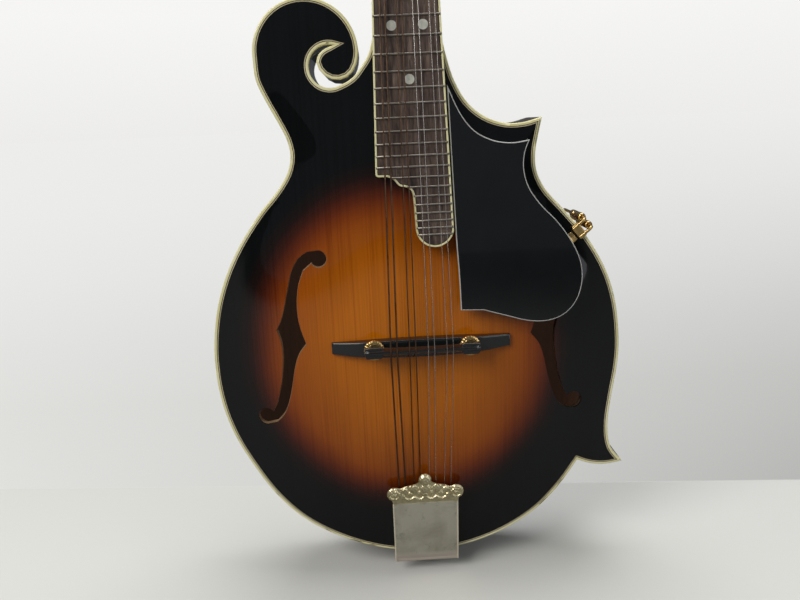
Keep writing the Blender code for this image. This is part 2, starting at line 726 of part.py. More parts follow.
def make_neck():
    lean = math.tan(NECK_ANGLE)
    joint = (NECK_JOINT + GAP - SCALE_END_ALONG - NECK_TOP * math.sin(NECK_ANGLE)) / math.cos(NECK_ANGLE)
    stations = (
        (joint, NECK_TOP, 46.5, 1, 0.42, lean),
        (joint + 5, NECK_TOP, 44, 0.99, 0.45, lean),
        (joint + 9, NECK_TOP, 34, 0.99, 0.55, lean),
        (joint + 14, NECK_TOP, 24, 1, 0.7, lean / 2),
        (joint + 22, NECK_TOP, 18.5, 1, 0.85, 0),
        (joint + 36, NECK_TOP, 16, 1, 1, 0),
        (joint + 80, NECK_TOP, 15.2, 1, 1, 0),
        (joint + 130, NECK_TOP, 14.4, 1, 1, 0),
        (SCALE_LENGTH - 6, NECK_TOP, 14, 1, 1, 0),
        (HEAD_START, NECK_TOP, 14.6, 1, 1, 0),
        (HEAD_START + 9, NECK_TOP - 3.6, 14.4, 1.05, 0.95, 0),
        (HEAD_START + 17, NECK_TOP - 6, 9.5, 1, 0.9, 0),
    )
    neck = make_object("neck", loft([neck_section(*station) for station in stations]), dark_maple())
    tenon_top = -EDGE_THICKNESS - 2 * GAP
    tenon_half = MORTISE_HALF - GAP
    tenon = block(body_point, (-tenon_half, TENON_END, TENON_LOW), (tenon_half, NECK_JOINT + 8, tenon_top))
    tongue = make_tongue()
    outline = smooth(HEAD_TREBLE + HEAD_POINT[:2], 20, closed=False)[:-1] + HEAD_POINT[1:]
    outline += HEAD_VALLEY + arc(**HEAD_CURL) + HEAD_BASS + [(-NUT_HALF_WIDTH, 0)]
    holes = [circle(place, POST_RADIUS + GAP, 10) for place in post_places()]
    head = slab(outline, HEAD_FRONT, HEAD_BACK, frame=head_point, holes=holes)
    added = [helper("neck_tenon", tenon), helper("neck_tongue", tongue), helper("headstock", head)]
    combine(neck, added, "UNION")
    channel_low = (-ROD_CHANNEL_HALF, ROD_START - 3, NECK_TOP - ROD_CHANNEL_DEPTH)
    channel = block(neck_point, channel_low, (ROD_CHANNEL_HALF, HEAD_START + 4, 5))
    pocket = block(head_point, (-POCKET_HALF, -0.5, POCKET_FLOOR), (POCKET_HALF, POCKET_END, 9))
    nut_seat = block(neck_point, (-30, SCALE_LENGTH - 1, NECK_TOP), (30, HEAD_START + GAP, 12))
    cuts = [helper("rod_channel", channel), helper("rod_pocket", pocket), helper("nut_seat", nut_seat)]
    combine(neck, cuts, "DIFFERENCE")


def make_tongue():
    """The strip of the neck under the fretboard's free end, kept clear of the arched soundboard."""
    sections = []
    for up in np.linspace(TONGUE_END, NECK_JOINT + 3, 8):
        along = (up - SCALE_END_ALONG) / math.cos(NECK_ANGLE)
        top = SCALE_END_OUT - along * math.sin(NECK_ANGLE) + NECK_TOP
        near = itertools.product((0, TONGUE_HALF), (up - 9, up, up + 9))
        low = min(max(top_surface(*place) for place in near) + 0.8, top - 1.2)
        corners = ((-TONGUE_HALF, top), (-TONGUE_HALF, low), (TONGUE_HALF, low), (TONGUE_HALF, top))
        sections.append([body_point(x, up, out) for x, out in corners])
    return loft(sections)


def make_truss_rod():
    """The rod in the neck's channel, the six-sided nut at its threaded end and the cover over the nut."""
    rod_out = NECK_TOP - ROD_CHANNEL_DEPTH + ROD_RADIUS + GAP
    along_neck = Matrix.Rotation(math.radians(-90), 4, "X")
    rod_frame = frame_matrix(neck_point, (0, ROD_START, rod_out)) @ along_neck
    length = HEAD_START + ROD_PAST_HEAD_START - ROD_START
    thread = length - ROD_THREAD
    rod = [(0, 0), (ROD_RADIUS, 0), (ROD_RADIUS, thread), (ROD_TIP, thread), (ROD_TIP, length), (0, length)]
    make_object("truss_rod", lathe(rod, rod_frame, 8), steel())
    nut_place = (0, HEAD_START + 2, rod_out)
    nut_side = [(ROD_NUT_RADIUS, 0), (ROD_NUT_RADIUS, ROD_NUT_LENGTH)]
    nut = bored(nut_side, ROD_TIP + GAP, frame_matrix(neck_point, nut_place) @ along_neck, 6)
    make_object("truss_rod_nut", nut, nickel(), neck_point(*nut_place))
    half = [(5, 1.5), (12, 8), (12.5, 14), (8.5, 24), (5, 31), (0, 34)]
    plan = half + [(-x, y) for x, y in half[-2::-1]]
    under = HEAD_FRONT + GAP
    cover = slab(plan, under + ROD_COVER_THICKNESS, under, frame=head_point)
    make_object("truss_rod_cover", cover, black_plastic())


def fretboard_end_path():
    """The free end's edge from the bass side's corner to the treble side, with its steps."""
    bass_corner = (-fretboard_half(FRETBOARD_SHOULDER), FRETBOARD_SHOULDER)
    return [bass_corner, *FLORIDA_STEPS, *arc(**FLORIDA_ROUND)]


def make_fretboard():
    far = SCALE_LENGTH - GAP
    edge = [(-fretboard_half(far), far), *fretboard_end_path(), (fretboard_half(far), far)]
    inner = offset(edge, FRETBOARD_BINDING + GAP, closed=False)
    strip_inner = offset(edge, FRETBOARD_BINDING, closed=False)
    for line in (inner, strip_inner):
        line[0], line[-1] = (line[0][0], far), (line[-1][0], far)
    top, bottom = -FRET_HEIGHT, -FRET_HEIGHT - FRETBOARD_THICKNESS
    make_object("fretboard", slab(inner, top, bottom, frame=neck_point), rosewood())
    strip = edge + strip_inner[::-1]
    make_object("fretboard_binding", slab(strip, top, bottom, frame=neck_point), ivory())
    half = NUT_HALF_WIDTH - 0.2
    nut = block(neck_point, (-half, SCALE_LENGTH, NECK_TOP + GAP), (half, HEAD_START - GAP, NUT_TOP))
    make_object("nut", nut, bone())


# Tuners

def post_places():
    sides = (-POST_ACROSS, POST_ACROSS)
    return [(x, FIRST_POST + i * POST_SPACING) for x in sides for i in range(POSTS_PER_SIDE)]


def gear_plan():
    """The outline of a gear with one tooth pointing at the worm, which lies at -along."""
    pitch = 2 * math.pi / GEAR_TEETH
    tip, root = GEAR_PITCH_RADIUS + 0.4, GEAR_PITCH_RADIUS - 0.9
    corners = ((-8.2, root), (-3.1, tip), (3.1, tip), (8.2, root))
    plan = []
    for tooth in range(GEAR_TEETH):
        for angle, radius in corners:
            turn = -math.pi / 2 + tooth * pitch + math.radians(angle)
            plan.append((radius * math.cos(turn), radius * math.sin(turn)))
    return plan


def make_post(name, place):
    """A string post with its gear, as one piece: the gear's teeth are in its own plane."""
    gear_outline = [(x + place[0], y + place[1]) for x, y in gear_plan()]
    gear_low = WORM_LEVEL - GEAR_THICKNESS / 2
    gear = slab(gear_outline, WORM_LEVEL + GEAR_THICKNESS / 2, gear_low, frame=head_point)
    post = make_object(name, gear, nickel(), head_point(*place, WORM_LEVEL))
    foot = gear_low - POST_FOOT
    rise = POST_TOP - foot
    step = HEAD_BACK + 0.8 - foot
    shape = [(0, 0), (POST_FOOT_RADIUS, 0), (POST_FOOT_RADIUS, step), (POST_RADIUS, step)]
    shape += [(POST_RADIUS, rise - 0.6), (POST_RADIUS - 0.6, rise), (0, rise)]
    stem = lathe(shape, frame_matrix(head_point, (*place, foot)), 10)
    combine(post, [helper(name + "_stem", stem)], "UNION")


def worm_thread(matrix):
    """Two turns of thread as one closed solid around local Z, each end a fan to the axis."""
    root, crest = WORM_PITCH_RADIUS - WORM_DEDENDUM, WORM_PITCH_RADIUS + WORM_ADDENDUM
    foot, land = WORM_THREAD_FOOT / 2, WORM_THREAD_LAND / 2
    profile = ((root, -foot), (crest, -land), (crest, land), (root, foot))
    last = WORM_STEPS * WORM_TURNS
    points, faces = [], []
    for i in range(last + 1):
        angle = 2 * math.pi * i / WORM_STEPS
        rise = WORM_LEAD * (i - last / 2) / WORM_STEPS
        points += [(r * math.cos(angle), r * math.sin(angle), rise + z) for r, z in profile]
    for i in range(last):
        here, after = 4 * i, 4 * i + 4
        faces += [(here + j, here + j + 1, after + j + 1, after + j) for j in range(3)]
        if i + WORM_STEPS < last:
            next_turn = 4 * (i + WORM_STEPS)
            faces.append((here + 3, next_turn, next_turn + 4, after + 3))
    end = 4 * last
    low_loop = [4 * i for i in range(WORM_STEPS, -1, -1)] + [1, 2, 3]
    high_loop = [4 * i + 3 for i in range(last - WORM_STEPS, last + 1)] + [end + 2, end + 1, end]
    for loop, row in ((low_loop, 0), (high_loop, last)):
        height = WORM_LEAD * (row - last / 2) / WORM_STEPS
        centre = len(points)
        points.append((0, 0, height))
        faces += [(a, b, centre) for a, b in zip(loop, loop[1:] + loop[:1])]
    return [tuple(matrix @ Vector(point)) for point in points], faces


def make_worm(name, place, side):
    """A worm on its shaft, with the button outside the headstock. side is -1 or 1."""
    where = (place[0], place[1] - WORM_OFFSET, WORM_LEVEL)
    along_x = frame_matrix(head_point, where) @ Matrix.Rotation(math.radians(90), 4, "Y")
    outward = along_x if side > 0 else along_x @ Matrix.Rotation(math.pi, 4, "X")
    thread = worm_thread(along_x @ Matrix.Rotation(WORM_PHASE, 4, "Z"))
    worm = make_object(name, thread, nickel(), head_point(*where))
    reach = BUTTON_START - POST_ACROSS
    low, high, radius = -WORM_SHAFT_INNER, reach + 2, WORM_SHAFT_RADIUS
    shaft = lathe([(0, low), (radius, low), (radius, high), (0, high)], outward, 8)
    oval = outward @ Matrix.Translation((0, 0, reach)) @ Matrix.Diagonal((BUTTON_FLATNESS, 1, 1, 1))
    added = [helper(name + "_shaft", shaft), helper(name + "_button", lathe(BUTTON_SHAPE, oval, 8))]
    combine(worm, added, "UNION")


def sideways_head_point(along, out, across):
    return head_point(across, along, out)


def tuner_plate_plan(middle):
    """The plate's outline: a strip with its four corners cut off."""
    low = FIRST_POST - WORM_OFFSET - 5.5
    high = FIRST_POST + (POSTS_PER_SIDE - 1) * POST_SPACING + 8
    half, cut = PLATE_HALF_WIDTH, 2
    plan = [(-half, low + cut), (cut - half, low), (half - cut, low), (half, low + cut)]
    plan += [(half, high - cut), (half - cut, high), (cut - half, high), (-half, high - cut)]
    return [(x + middle, y) for x, y in plan]


def tuner_ear(middle, along, face):
    """A post of the plate that a worm's shaft runs through, between two planes of constant across."""
    half, low, tip = 3, WORM_LEVEL - 1.4, WORM_LEVEL - 3
    outline = [(along - half, face - PLATE_METAL / 2), (along + half, face - PLATE_METAL / 2)]
    outline += [(along + half, low), (along + half / 2, tip), (along - half / 2, tip), (along - half, low)]
    bore = circle((along, WORM_LEVEL), WORM_SHAFT_RADIUS + GAP, 8)
    thick = EAR_THICKNESS / 2
    return slab(outline, middle + thick, middle - thick, frame=sideways_head_point, holes=[bore])


def make_tuner_plate(name, side):
    middle = side * POST_ACROSS
    places = [place for place in post_places() if place[0] == middle]
    holes = [circle(place, POST_FOOT_RADIUS + GAP, 8) for place in places]
    face = HEAD_BACK - GAP
    strip = slab(tuner_plate_plan(middle), face, face - PLATE_METAL, frame=head_point, holes=holes)
    plate = make_object(name, strip, nickel())
    ears = []
    for (_, along), step in itertools.product(places, (-EAR_ACROSS, EAR_ACROSS)):
        ear = tuner_ear(middle + step, along - WORM_OFFSET, face)
        ears.append(helper(f"{name}_ear_{len(ears)}", ear))
    combine(plate, ears, "UNION")


def make_tuners():
    for side_name, side in (("bass", -1), ("treble", 1)):
        make_tuner_plate(f"tuner_plate_{side_name}", side)
        places = [place for place in post_places() if place[0] * side > 0]
        for number, place in enumerate(places, 1):
            make_post(f"tuner_post_{side_name}_{number}", place)
            make_worm(f"tuner_button_{side_name}_{number}", place, side)


# Bridge

def base_plan(half_length):
    """The bridge base from above: a straight side towards the neck and a bellied one towards the tail."""
    neck_side = [(half_length * t, BRIDGE_ALONG + 4.6 - 1.2 * t * t) for t in np.linspace(-1, 1, 7)]
    tail_side = [(half_length * t, BRIDGE_ALONG - 6.4 + 2.8 * t * t) for t in np.linspace(1, -1, 7)]
    return [(x + BRIDGE_ACROSS, y) for x, y in neck_side + tail_side]


def base_top(across, along):
    """Flat under the saddle, and sloping down from there to the base's two ends."""
    reach = BRIDGE_HALF_LENGTH - SADDLE_HALF_LENGTH
    beyond = max(abs(across - BRIDGE_ACROSS) - SADDLE_HALF_LENGTH, 0) / reach
    return BASE_TOP - (BASE_TOP - BASE_END_TOP) * beyond


def base_underside(across, along):
    return top_surface(across, along) + GAP + 0.1


def saddle_solid():
    """A bar with a narrow top edge that the strings cross."""
    thick, shoulder = SADDLE_THICKNESS / 2, SADDLE_TOP - 2
    profile = [(-thick, SADDLE_BOTTOM), (thick, SADDLE_BOTTOM), (thick, shoulder), (1, SADDLE_TOP)]
    profile += [(-1, SADDLE_TOP), (-thick, shoulder)]
    sections = []
    for across in (BRIDGE_ACROSS - SADDLE_HALF_LENGTH, BRIDGE_ACROSS + SADDLE_HALF_LENGTH):
        sections.append([body_point(across, BRIDGE_ALONG + along, out) for along, out in profile])
    return loft(sections)


def rod_at(across, low, high, radius):
    """A plain round rod that stands out from the top at the bridge."""
    start = frame_matrix(body_point, (across, BRIDGE_ALONG, low))
    return lathe([(0, 0), (radius, 0), (radius, high - low), (0, high - low)], start, 10)


def make_bridge():
    base = make_object("bridge_base", slab(base_plan(BRIDGE_HALF_LENGTH), base_top, base_underside), ebony())
    saddle_middle = body_point(BRIDGE_ACROSS, BRIDGE_ALONG, SADDLE_BOTTOM)
    saddle = make_object("saddle", saddle_solid(), ebony(), saddle_middle)
    base_holes, saddle_holes = [], []
    foot = BASE_TOP - STUD_DEPTH
    bore = STUD_RADIUS + GAP + 0.1
    for side_name, side in (("bass", -1), ("treble", 1)):
        across = BRIDGE_ACROSS + side * WHEEL_ACROSS
        make_object(f"bridge_stud_{side_name}", rod_at(across, foot, STUD_TOP, STUD_RADIUS), gold())
        wheel_place = (across, BRIDGE_ALONG, WHEEL_BOTTOM)
        wheel_side = [(WHEEL_RADIUS, 0), (WHEEL_RADIUS, WHEEL_THICKNESS)]
        wheel = bored(wheel_side, STUD_RADIUS + GAP, frame_matrix(body_point, wheel_place), 20)
        make_object(f"thumbwheel_{side_name}", wheel, gold(), body_point(*wheel_place))
        base_hole = rod_at(across, foot - GAP, BASE_TOP + 5, bore)
        base_holes.append(helper(f"base_hole_{side_name}", base_hole))
        saddle_hole = rod_at(across, SADDLE_BOTTOM - 4, STUD_TOP + SADDLE_DROP + GAP, bore)
        saddle_holes.append(helper(f"saddle_hole_{side_name}", saddle_hole))
    combine(base, base_holes, "DIFFERENCE")
    combine(saddle, saddle_holes, "DIFFERENCE")


# Tailpiece, end pin and strings

def make_tailpiece():
    """The plate with the string hooks and the tab round the tail, and the cover that slides over it."""
    plate = slab(TAILPIECE_BASE_PLAN, BASE_PLATE_OUT, BASE_PLATE_OUT - 1, frame=tailpiece_point)
    base = make_object("tailpiece_base", plate, nickel())
    tab = block(body_point, (-TAB_HALF, -1.7, TAB_LOW), (TAB_HALF, -0.6, 2.6))
    parts = [helper("tailpiece_tab", tab)]
    for index, across in enumerate(string_spread(COURSE_AT_TAIL, PAIR_AT_TAIL)):
        low = (across - HOOK_HALF, HOOK_ALONG, BASE_PLATE_OUT - 0.5)
        hook = block(tailpiece_point, low, (across + HOOK_HALF, HOOK_ALONG + 2 * HOOK_HALF, HOOK_OUT))
        parts.append(helper(f"hook_{index}", hook))
    combine(base, parts, "UNION")
    combine(base, [pin_hole("tab_pin_hole")], "DIFFERENCE")
    half, shoulder = COVER_HALF_WIDTH, COVER_SIDE_LENGTH
    crown = smooth(COVER_CROWN, 4, closed=False)
    plan = [(-half, 0), (half, 0), (half, shoulder), *crown]
    plan += [(-x, y) for x, y in crown[-2::-1]] + [(-half, shoulder)]
    cover_plate = slab(plan, 0, -COVER_METAL, frame=tailpiece_point)
    cover = make_object("tailpiece_cover", cover_plate, nickel(), tailpiece_point(0, 0, 0))
    lip = block(tailpiece_point, (-half, 0, COVER_LIP_OUT), (half, COVER_METAL, -0.2))
    parts = [helper("cover_lip", lip)]
    for side in (-1, 1):
        low = (side * half, 0, COVER_SIDE_OUT)
        wall = block(tailpiece_point, low, (side * (half - COVER_METAL), shoulder - COVER_METAL, -0.2))
        parts.append(helper(f"cover_side_{side}", wall))
    combine(cover, parts, "UNION")


def make_end_pin():
    matrix = frame_matrix(body_point, (0, 0, -BODY_DEPTH / 2)) @ Matrix.Rotation(math.radians(90), 4, "X")
    shape = [(0, -14), (PIN_RADIUS - 0.4, -14), (PIN_RADIUS, 2.2), (8.2, 2.2), (8.2, 3.8), (5, 5.6)]
    shape += [(4.6, 8), (7.4, 10.4), (8, 12), (7.4, TAIL_HEIGHT), (0, TAIL_HEIGHT)]
    make_object("end_pin", lathe(shape, matrix, 16), black_plastic())


def string_spread(course, pair):
    return [(c - 1.5) * course + side * pair / 2 for c in range(4) for side in (-1, 1)]


def string_post(index):
    """Which post a string winds on: (side, number from the nut). The outer courses use the near posts."""
    return ((-1, 0), (-1, 1), (-1, 2), (-1, 3), (1, 3), (1, 2), (1, 1), (1, 0))[index]


def string_route(index):
    radius = STRING_RADII[index]
    tail = string_spread(COURSE_AT_TAIL, PAIR_AT_TAIL)[index]
    saddle = BRIDGE_ACROSS / 2 + string_spread(COURSE_AT_SADDLE, PAIR_AT_SADDLE)[index]
    nut = string_spread(COURSE_AT_NUT, PAIR_AT_NUT)[index]
    side, number = string_post(index)
    across = side * (POST_ACROSS - POST_RADIUS - GAP - radius - 0.1)
    return [
        tailpiece_point(tail, HOOK_ALONG + 2.2, -3.2),
        body_point(saddle, BRIDGE_ALONG, SADDLE_TOP + GAP + radius),
        neck_point(nut, SCALE_LENGTH, NUT_TOP + GAP + radius),
        neck_point(nut, HEAD_START - 0.4, NUT_TOP + GAP + radius),
        head_point(across, FIRST_POST + number * POST_SPACING + 1, STRING_AT_POST),
    ]


def make_string(index):
    """A taut round wire from its hook over the saddle and the nut to the side of its post."""
    route = [Vector(point) for point in string_route(index)]
    radius = STRING_RADII[index]
    sections = []
    for i, point in enumerate(route):
        before, after = route[max(i - 1, 0)], route[min(i + 1, len(route) - 1)]
        direction = (after - before).normalized()
        right = Vector((1, 0, 0)) - direction * direction.x
        right.normalize()
        up = right.cross(direction)
        ring = circle((0, 0), radius, 6)
        sections.append([tuple(point + right * x + up * y) for x, y in ring])
    name = f"string_{('g', 'd', 'a', 'e')[index // 2]}_{index % 2 + 1}"
    make_object(name, loft(sections), steel())


# Pickguard and its clamp

def make_pickguard():
    """A flat plate beside the strings: a curve up to its point, another round its belly, and a corner."""
    plan = smooth(PICKGUARD_TOP_EDGE, 9, closed=False)[:-1]
    plan += smooth([PICKGUARD_TOP_EDGE[-1], *PICKGUARD_WAIST, *PICKGUARD_BELLY], 10, closed=False)
    plan += PICKGUARD_CORNER
    guard = slab(plan, GUARD_TOP, GUARD_TOP - GUARD_THICKNESS, frame=neck_point)
    make_object("pickguard", guard, black_plastic())


def clamp_point(along_rim, outward, out):
    """A frame at the clamp: along the rim, away from the body, and out from the soundboard's edge."""
    tangent = Vector((math.cos(CLAMP_DIRECTION), math.sin(CLAMP_DIRECTION)))
    normal = Vector((tangent.y, -tangent.x))
    place = Vector(CLAMP_PLACE) + tangent * along_rim + normal * outward
    return body_point(place.x, place.y, out)


def bent_rod(path):
    """A round rod of the clamp along a path in a plane of constant along_rim."""
    points = [Vector(clamp_point(*point)) for point in path]
    side = (Vector(clamp_point(1, 0, 0)) - Vector(clamp_point(0, 0, 0))).normalized()
    sections = []
    for i, point in enumerate(points):
        before, after = points[max(i - 1, 0)], points[min(i + 1, len(points) - 1)]
        up = side.cross(after - before).normalized()
        widen = 1.0
        if 0 < i < len(points) - 1:
            widen = 1 / max(0.6, math.cos((after - point).angle(point - before) / 2))
        ring = circle((0, 0), CLAMP_ROD_RADIUS, 8)
        sections.append([tuple(point + side * x + up * y * widen) for x, y in ring])
    return loft(sections)


def clamp_arm():
    """The strip from the top foot up to the pickguard's underside."""
    guard_under = SCALE_END_OUT - 57 * math.sin(NECK_ANGLE) + GUARD_TOP - GUARD_THICKNESS
    path = [(-4, 1.7), (-9, 2.2), (-13.5, 8)]
    path += [(-15, guard_under - 3.4), (-17, guard_under - 1.6), (-25, guard_under - 1.7)]
    half = CLAMP_ARM_WIDTH / 2
    sections = []
    for i, (outward, out) in enumerate(path):
        before, after = path[max(i - 1, 0)], path[min(i + 1, len(path) - 1)]
        step = Vector((after[0] - before[0], after[1] - before[1])).normalized() * CLAMP_ARM_THICKNESS / 2
        corners = [(-half, 1), (half, 1), (half, -1), (-half, -1)]
        sections.append([clamp_point(x, outward - s * step.y, out + s * step.x) for x, s in corners])
    return loft(sections)


def clamp_legs(name, bend, end):
    """The two rods that leave a foot at the level bend, and turn towards end outside the ribs."""
    legs = []
    leg_out = CLAMP_LEG_OUTWARD
    turned = bend + 1.7 * math.copysign(1, end - bend)
    stations = ((-4, bend), (leg_out - 1.6, bend), (leg_out, turned), (leg_out, end))
    for index, place in enumerate((-CLAMP_HALF_SPACING, CLAMP_HALF_SPACING)):
        rod = bent_rod([(place, outward, out) for outward, out in stations])
        legs.append(helper(f"{name}_{index}", rod))
    return legs


def clamp_foot(middle):
    half = CLAMP_FOOT_THICKNESS / 2
    along = CLAMP_FOOT_HALF
    return block(clamp_point, (-along, -CLAMP_FOOT_DEPTH, middle - half), (along, 0.6, middle + half))


def make_clamp():
    top_level, bottom_level = CLAMP_FOOT_LEVEL, -BODY_DEPTH - CLAMP_FOOT_LEVEL
    top = make_object("pickguard_clamp_top_foot", clamp_foot(top_level - 0.15), gold())
    upper_legs = clamp_legs("clamp_leg", top_level, BARREL_BOTTOM + BARREL_LENGTH - CLAMP_THREAD_IN)
    combine(top, [*upper_legs, helper("clamp_arm", clamp_arm())], "UNION")
    bottom = make_object("pickguard_clamp_bottom_foot", clamp_foot(bottom_level + 0.15), gold())
    combine(bottom, clamp_legs("clamp_lower_leg", bottom_level, BARREL_BOTTOM + CLAMP_THREAD_IN), "UNION")
    low, high = BARREL_RADIUS - 0.5, BARREL_LENGTH - 0.6
    shape = [(low, 0), (BARREL_RADIUS, 0.6), (BARREL_RADIUS, high), (low, BARREL_LENGTH)]
    for number, place in enumerate((-CLAMP_HALF_SPACING, CLAMP_HALF_SPACING), 1):
        foot = (place, CLAMP_LEG_OUTWARD, BARREL_BOTTOM)
        barrel = bored(shape, CLAMP_ROD_RADIUS + GAP, frame_matrix(clamp_point, foot), 12)
        make_object(f"pickguard_clamp_barrel_{number}", barrel, gold(), clamp_point(*foot))


def main():
    for old in list(bpy.data.objects):
        bpy.data.objects.remove(old)
    make_body()
    make_neck()
    make_truss_rod()
    make_fretboard()
    make_tuners()
    make_bridge()
    make_tailpiece()
    make_end_pin()
    for index in range(len(STRING_RADII)):
        make_string(index)
    make_pickguard()
    make_clamp()


main()
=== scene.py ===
"""The looks of an F-style mandolin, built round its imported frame.

Shapes are worked out in millimetres in the same flat frames as the solids, each a point
(across, along, out), and MM turns them into the scene's metres:
  body_point       across = X, along = height above the tail end, out = above the soundboard's edge
  neck_point       the frets' plane, along = distance from the bridge end of the scale
  head_point       the headstock's front, along = distance from the nut end
  tailpiece_point  the tailpiece cover's top, along = distance from its end lip
  clamp_point      along the rim at the pickguard's clamp, away from the body, out as body_point
"""

import itertools
import json
import math

import bpy
import bmesh
import numpy as np
from mathutils import Matrix, Vector
from mathutils.geometry import delaunay_2d_cdt

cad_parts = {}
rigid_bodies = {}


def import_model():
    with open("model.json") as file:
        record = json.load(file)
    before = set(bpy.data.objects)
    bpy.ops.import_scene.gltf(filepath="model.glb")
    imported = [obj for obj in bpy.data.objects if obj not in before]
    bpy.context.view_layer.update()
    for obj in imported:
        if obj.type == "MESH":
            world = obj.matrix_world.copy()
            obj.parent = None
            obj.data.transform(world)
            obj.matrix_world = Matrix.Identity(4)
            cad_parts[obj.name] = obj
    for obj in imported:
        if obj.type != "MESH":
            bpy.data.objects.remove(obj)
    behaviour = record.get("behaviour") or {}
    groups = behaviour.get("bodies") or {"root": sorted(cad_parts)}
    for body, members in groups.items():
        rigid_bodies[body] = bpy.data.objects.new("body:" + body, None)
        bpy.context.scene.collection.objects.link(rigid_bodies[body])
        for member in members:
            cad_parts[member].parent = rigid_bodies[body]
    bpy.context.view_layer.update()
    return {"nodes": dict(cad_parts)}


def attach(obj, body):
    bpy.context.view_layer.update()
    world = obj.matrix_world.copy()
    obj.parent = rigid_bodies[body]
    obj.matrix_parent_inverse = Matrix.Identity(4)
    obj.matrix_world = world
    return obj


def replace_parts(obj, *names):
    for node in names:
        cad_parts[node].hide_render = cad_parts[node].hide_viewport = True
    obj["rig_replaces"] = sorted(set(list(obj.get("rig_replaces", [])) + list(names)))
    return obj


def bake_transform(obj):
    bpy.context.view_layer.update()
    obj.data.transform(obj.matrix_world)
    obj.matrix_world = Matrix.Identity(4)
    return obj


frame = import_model()

MM = 0.001

# Body
TAIL_HEIGHT = 13.0
END_PIN_TOP = 12.95
BASS_LIMIT = -126.8
BODY_DEPTH = 45.0
EDGE_THICKNESS = 5.0
PLATE_THICKNESS = 4.2
TOP_RISE = 12.0
BACK_RISE = 11.0
ARCH_REACH = 66.0
GLUED_WIDTH = 9.0
HOLLOW_RAMP = 12.0
HEAD_BLOCK_MARGIN = 18.0
TAIL_BLOCK_END = 20.0
TAIL_BLOCK_RAMP = 10.0
RIB_THICKNESS = 2.3
BINDING_WIDTH = 1.6
BLACK_LINE = 0.4
CREAM_LINE = 0.5
HEAD_BLOCK_END = 283.0
NECK_JOINT = 326.3
PLATE_GRID = 3.6
BACK_GRID = PLATE_GRID + 0.6
LIP_WIDTH = 0.25
BURST_CENTRE = (-8.0, 145.5)
BURST_RADIUS = 104.5
BURST_LENGTHENED = 1.1

# Neck and fretboard
SCALE_LENGTH = 352.4
SCALE_END_ALONG = 150.5
SCALE_END_OUT = 25.7
NECK_ANGLE = math.radians(5.1)
FRET_COUNT = 29
FRET_HEIGHT = 1.0
FRET_HALF_WIDTH = 0.6
FRETBOARD_THICKNESS = 6.0
FRETBOARD_BINDING = 1.15
NUT_HALF_WIDTH = 14.5
FRETBOARD_FLARE = 0.0279
NUT_LENGTH = 4.4
NUT_TOP = 0.15
NECK_TOP = -7.3
TONGUE_END = 252.0
TONGUE_HALF = 15.0
DOT_RADIUS = 2.8
DOT_FRETS = (3, 5, 7, 10, 15)
DOUBLE_DOT_FRET = 12
DOUBLE_DOT_ACROSS = 8.7

# Headstock and tuners
HEAD_ANGLE = math.radians(14.0)
HEAD_START = SCALE_LENGTH + NUT_LENGTH
HEAD_FRONT = 2.0
HEAD_BACK = -13.5
HEAD_EDGE_DEPTH = 2.4
HEAD_BINDING_WIDTH = 1.3
POST_ACROSS = 19.8
FIRST_POST = 36.0
POST_SPACING = 23.0
POSTS_PER_SIDE = 4
POST_RADIUS = 3.0
POST_WAIST = 2.6
POST_TOP = 11.5
GEAR_TEETH = 14
GEAR_PITCH_RADIUS = 6.0
WORM_PITCH_RADIUS = 2.9
WORM_LEAD = 2 * math.pi * GEAR_PITCH_RADIUS / GEAR_TEETH
WORM_OFFSET = GEAR_PITCH_RADIUS + WORM_PITCH_RADIUS
WORM_LEVEL = -19.2
BUTTON_START = 43.0
BUTTON_LENGTH = 12.2
TUNER_PLATE_GAP = 0.3
STRING_AT_POST = 6.5
COIL_TURNS = 4

# Bridge
BRIDGE_ALONG = 149.0
BRIDGE_ACROSS = 1.0
BRIDGE_HALF_LENGTH = 54.0
BASE_TOP = 18.6
BASE_END_TOP = 13.6
WHEEL_ACROSS = 28.5
WHEEL_RADIUS = 6.2
WHEEL_THICKNESS = 2.4
WHEEL_BOTTOM = 19.8
WHEEL_RIBS = 26
STUD_RADIUS = 1.7
STUD_TOP = 25.8
STUD_PITCH = 0.8
STUD_THREAD_DEPTH = 0.32
SADDLE_HALF_LENGTH = 34.0
SADDLE_THICKNESS = 6.0
SADDLE_BOTTOM = 22.5
SADDLE_TOP = 28.7

# Tailpiece
COVER_START_ALONG = -4.0
COVER_START_OUT = 6.8
COVER_ANGLE = math.atan(0.15)
COVER_HALF_WIDTH = 21.0
COVER_SIDE_LENGTH = 48.0
COVER_METAL = 0.8
HOOK_ALONG = 27.0
# Where the painted highlight over the tailpiece cover's lower bend ends, and how far it fades
HIGHLIGHT_BAND_END = 8.5
HIGHLIGHT_BAND_FADE = 3.5

# Pickguard and its clamp
GUARD_TOP = -2.4
GUARD_THICKNESS = 1.8
CLAMP_PLACE = (101.0, 212.6)
CLAMP_DIRECTION = math.radians(129.5)
CLAMP_LEG_OUTWARD = 5.4
CLAMP_HALF_SPACING = 3.3
CLAMP_ROD_RADIUS = 1.0
CLAMP_BEND_RADIUS = 2.4
CLAMP_FOOT_LEVEL = 1.75
CLAMP_ROD_LEVEL = 1.9
ROD_IN_BARREL = 6.0
BARREL_RADIUS = 2.4
BARREL_BOTTOM = -26.0
BARREL_LENGTH = 21.0

# The two sides, and which way each lies
SIDES = (("bass", -1), ("treble", 1))

# Strings, from the bass side, in pairs
STRING_NAMES = [f"string_{note}_{number}" for note in "gdae" for number in (1, 2)]
STRING_RADII = (0.5, 0.5, 0.36, 0.36, 0.22, 0.22, 0.18, 0.18)
WOUND_STRINGS = 4
COURSE_AT_NUT = 7.3
PAIR_AT_NUT = 2.3
COURSE_AT_SADDLE = 11.0
PAIR_AT_SADDLE = 3.7
COURSE_AT_TAIL = 9.2
PAIR_AT_TAIL = 4.2

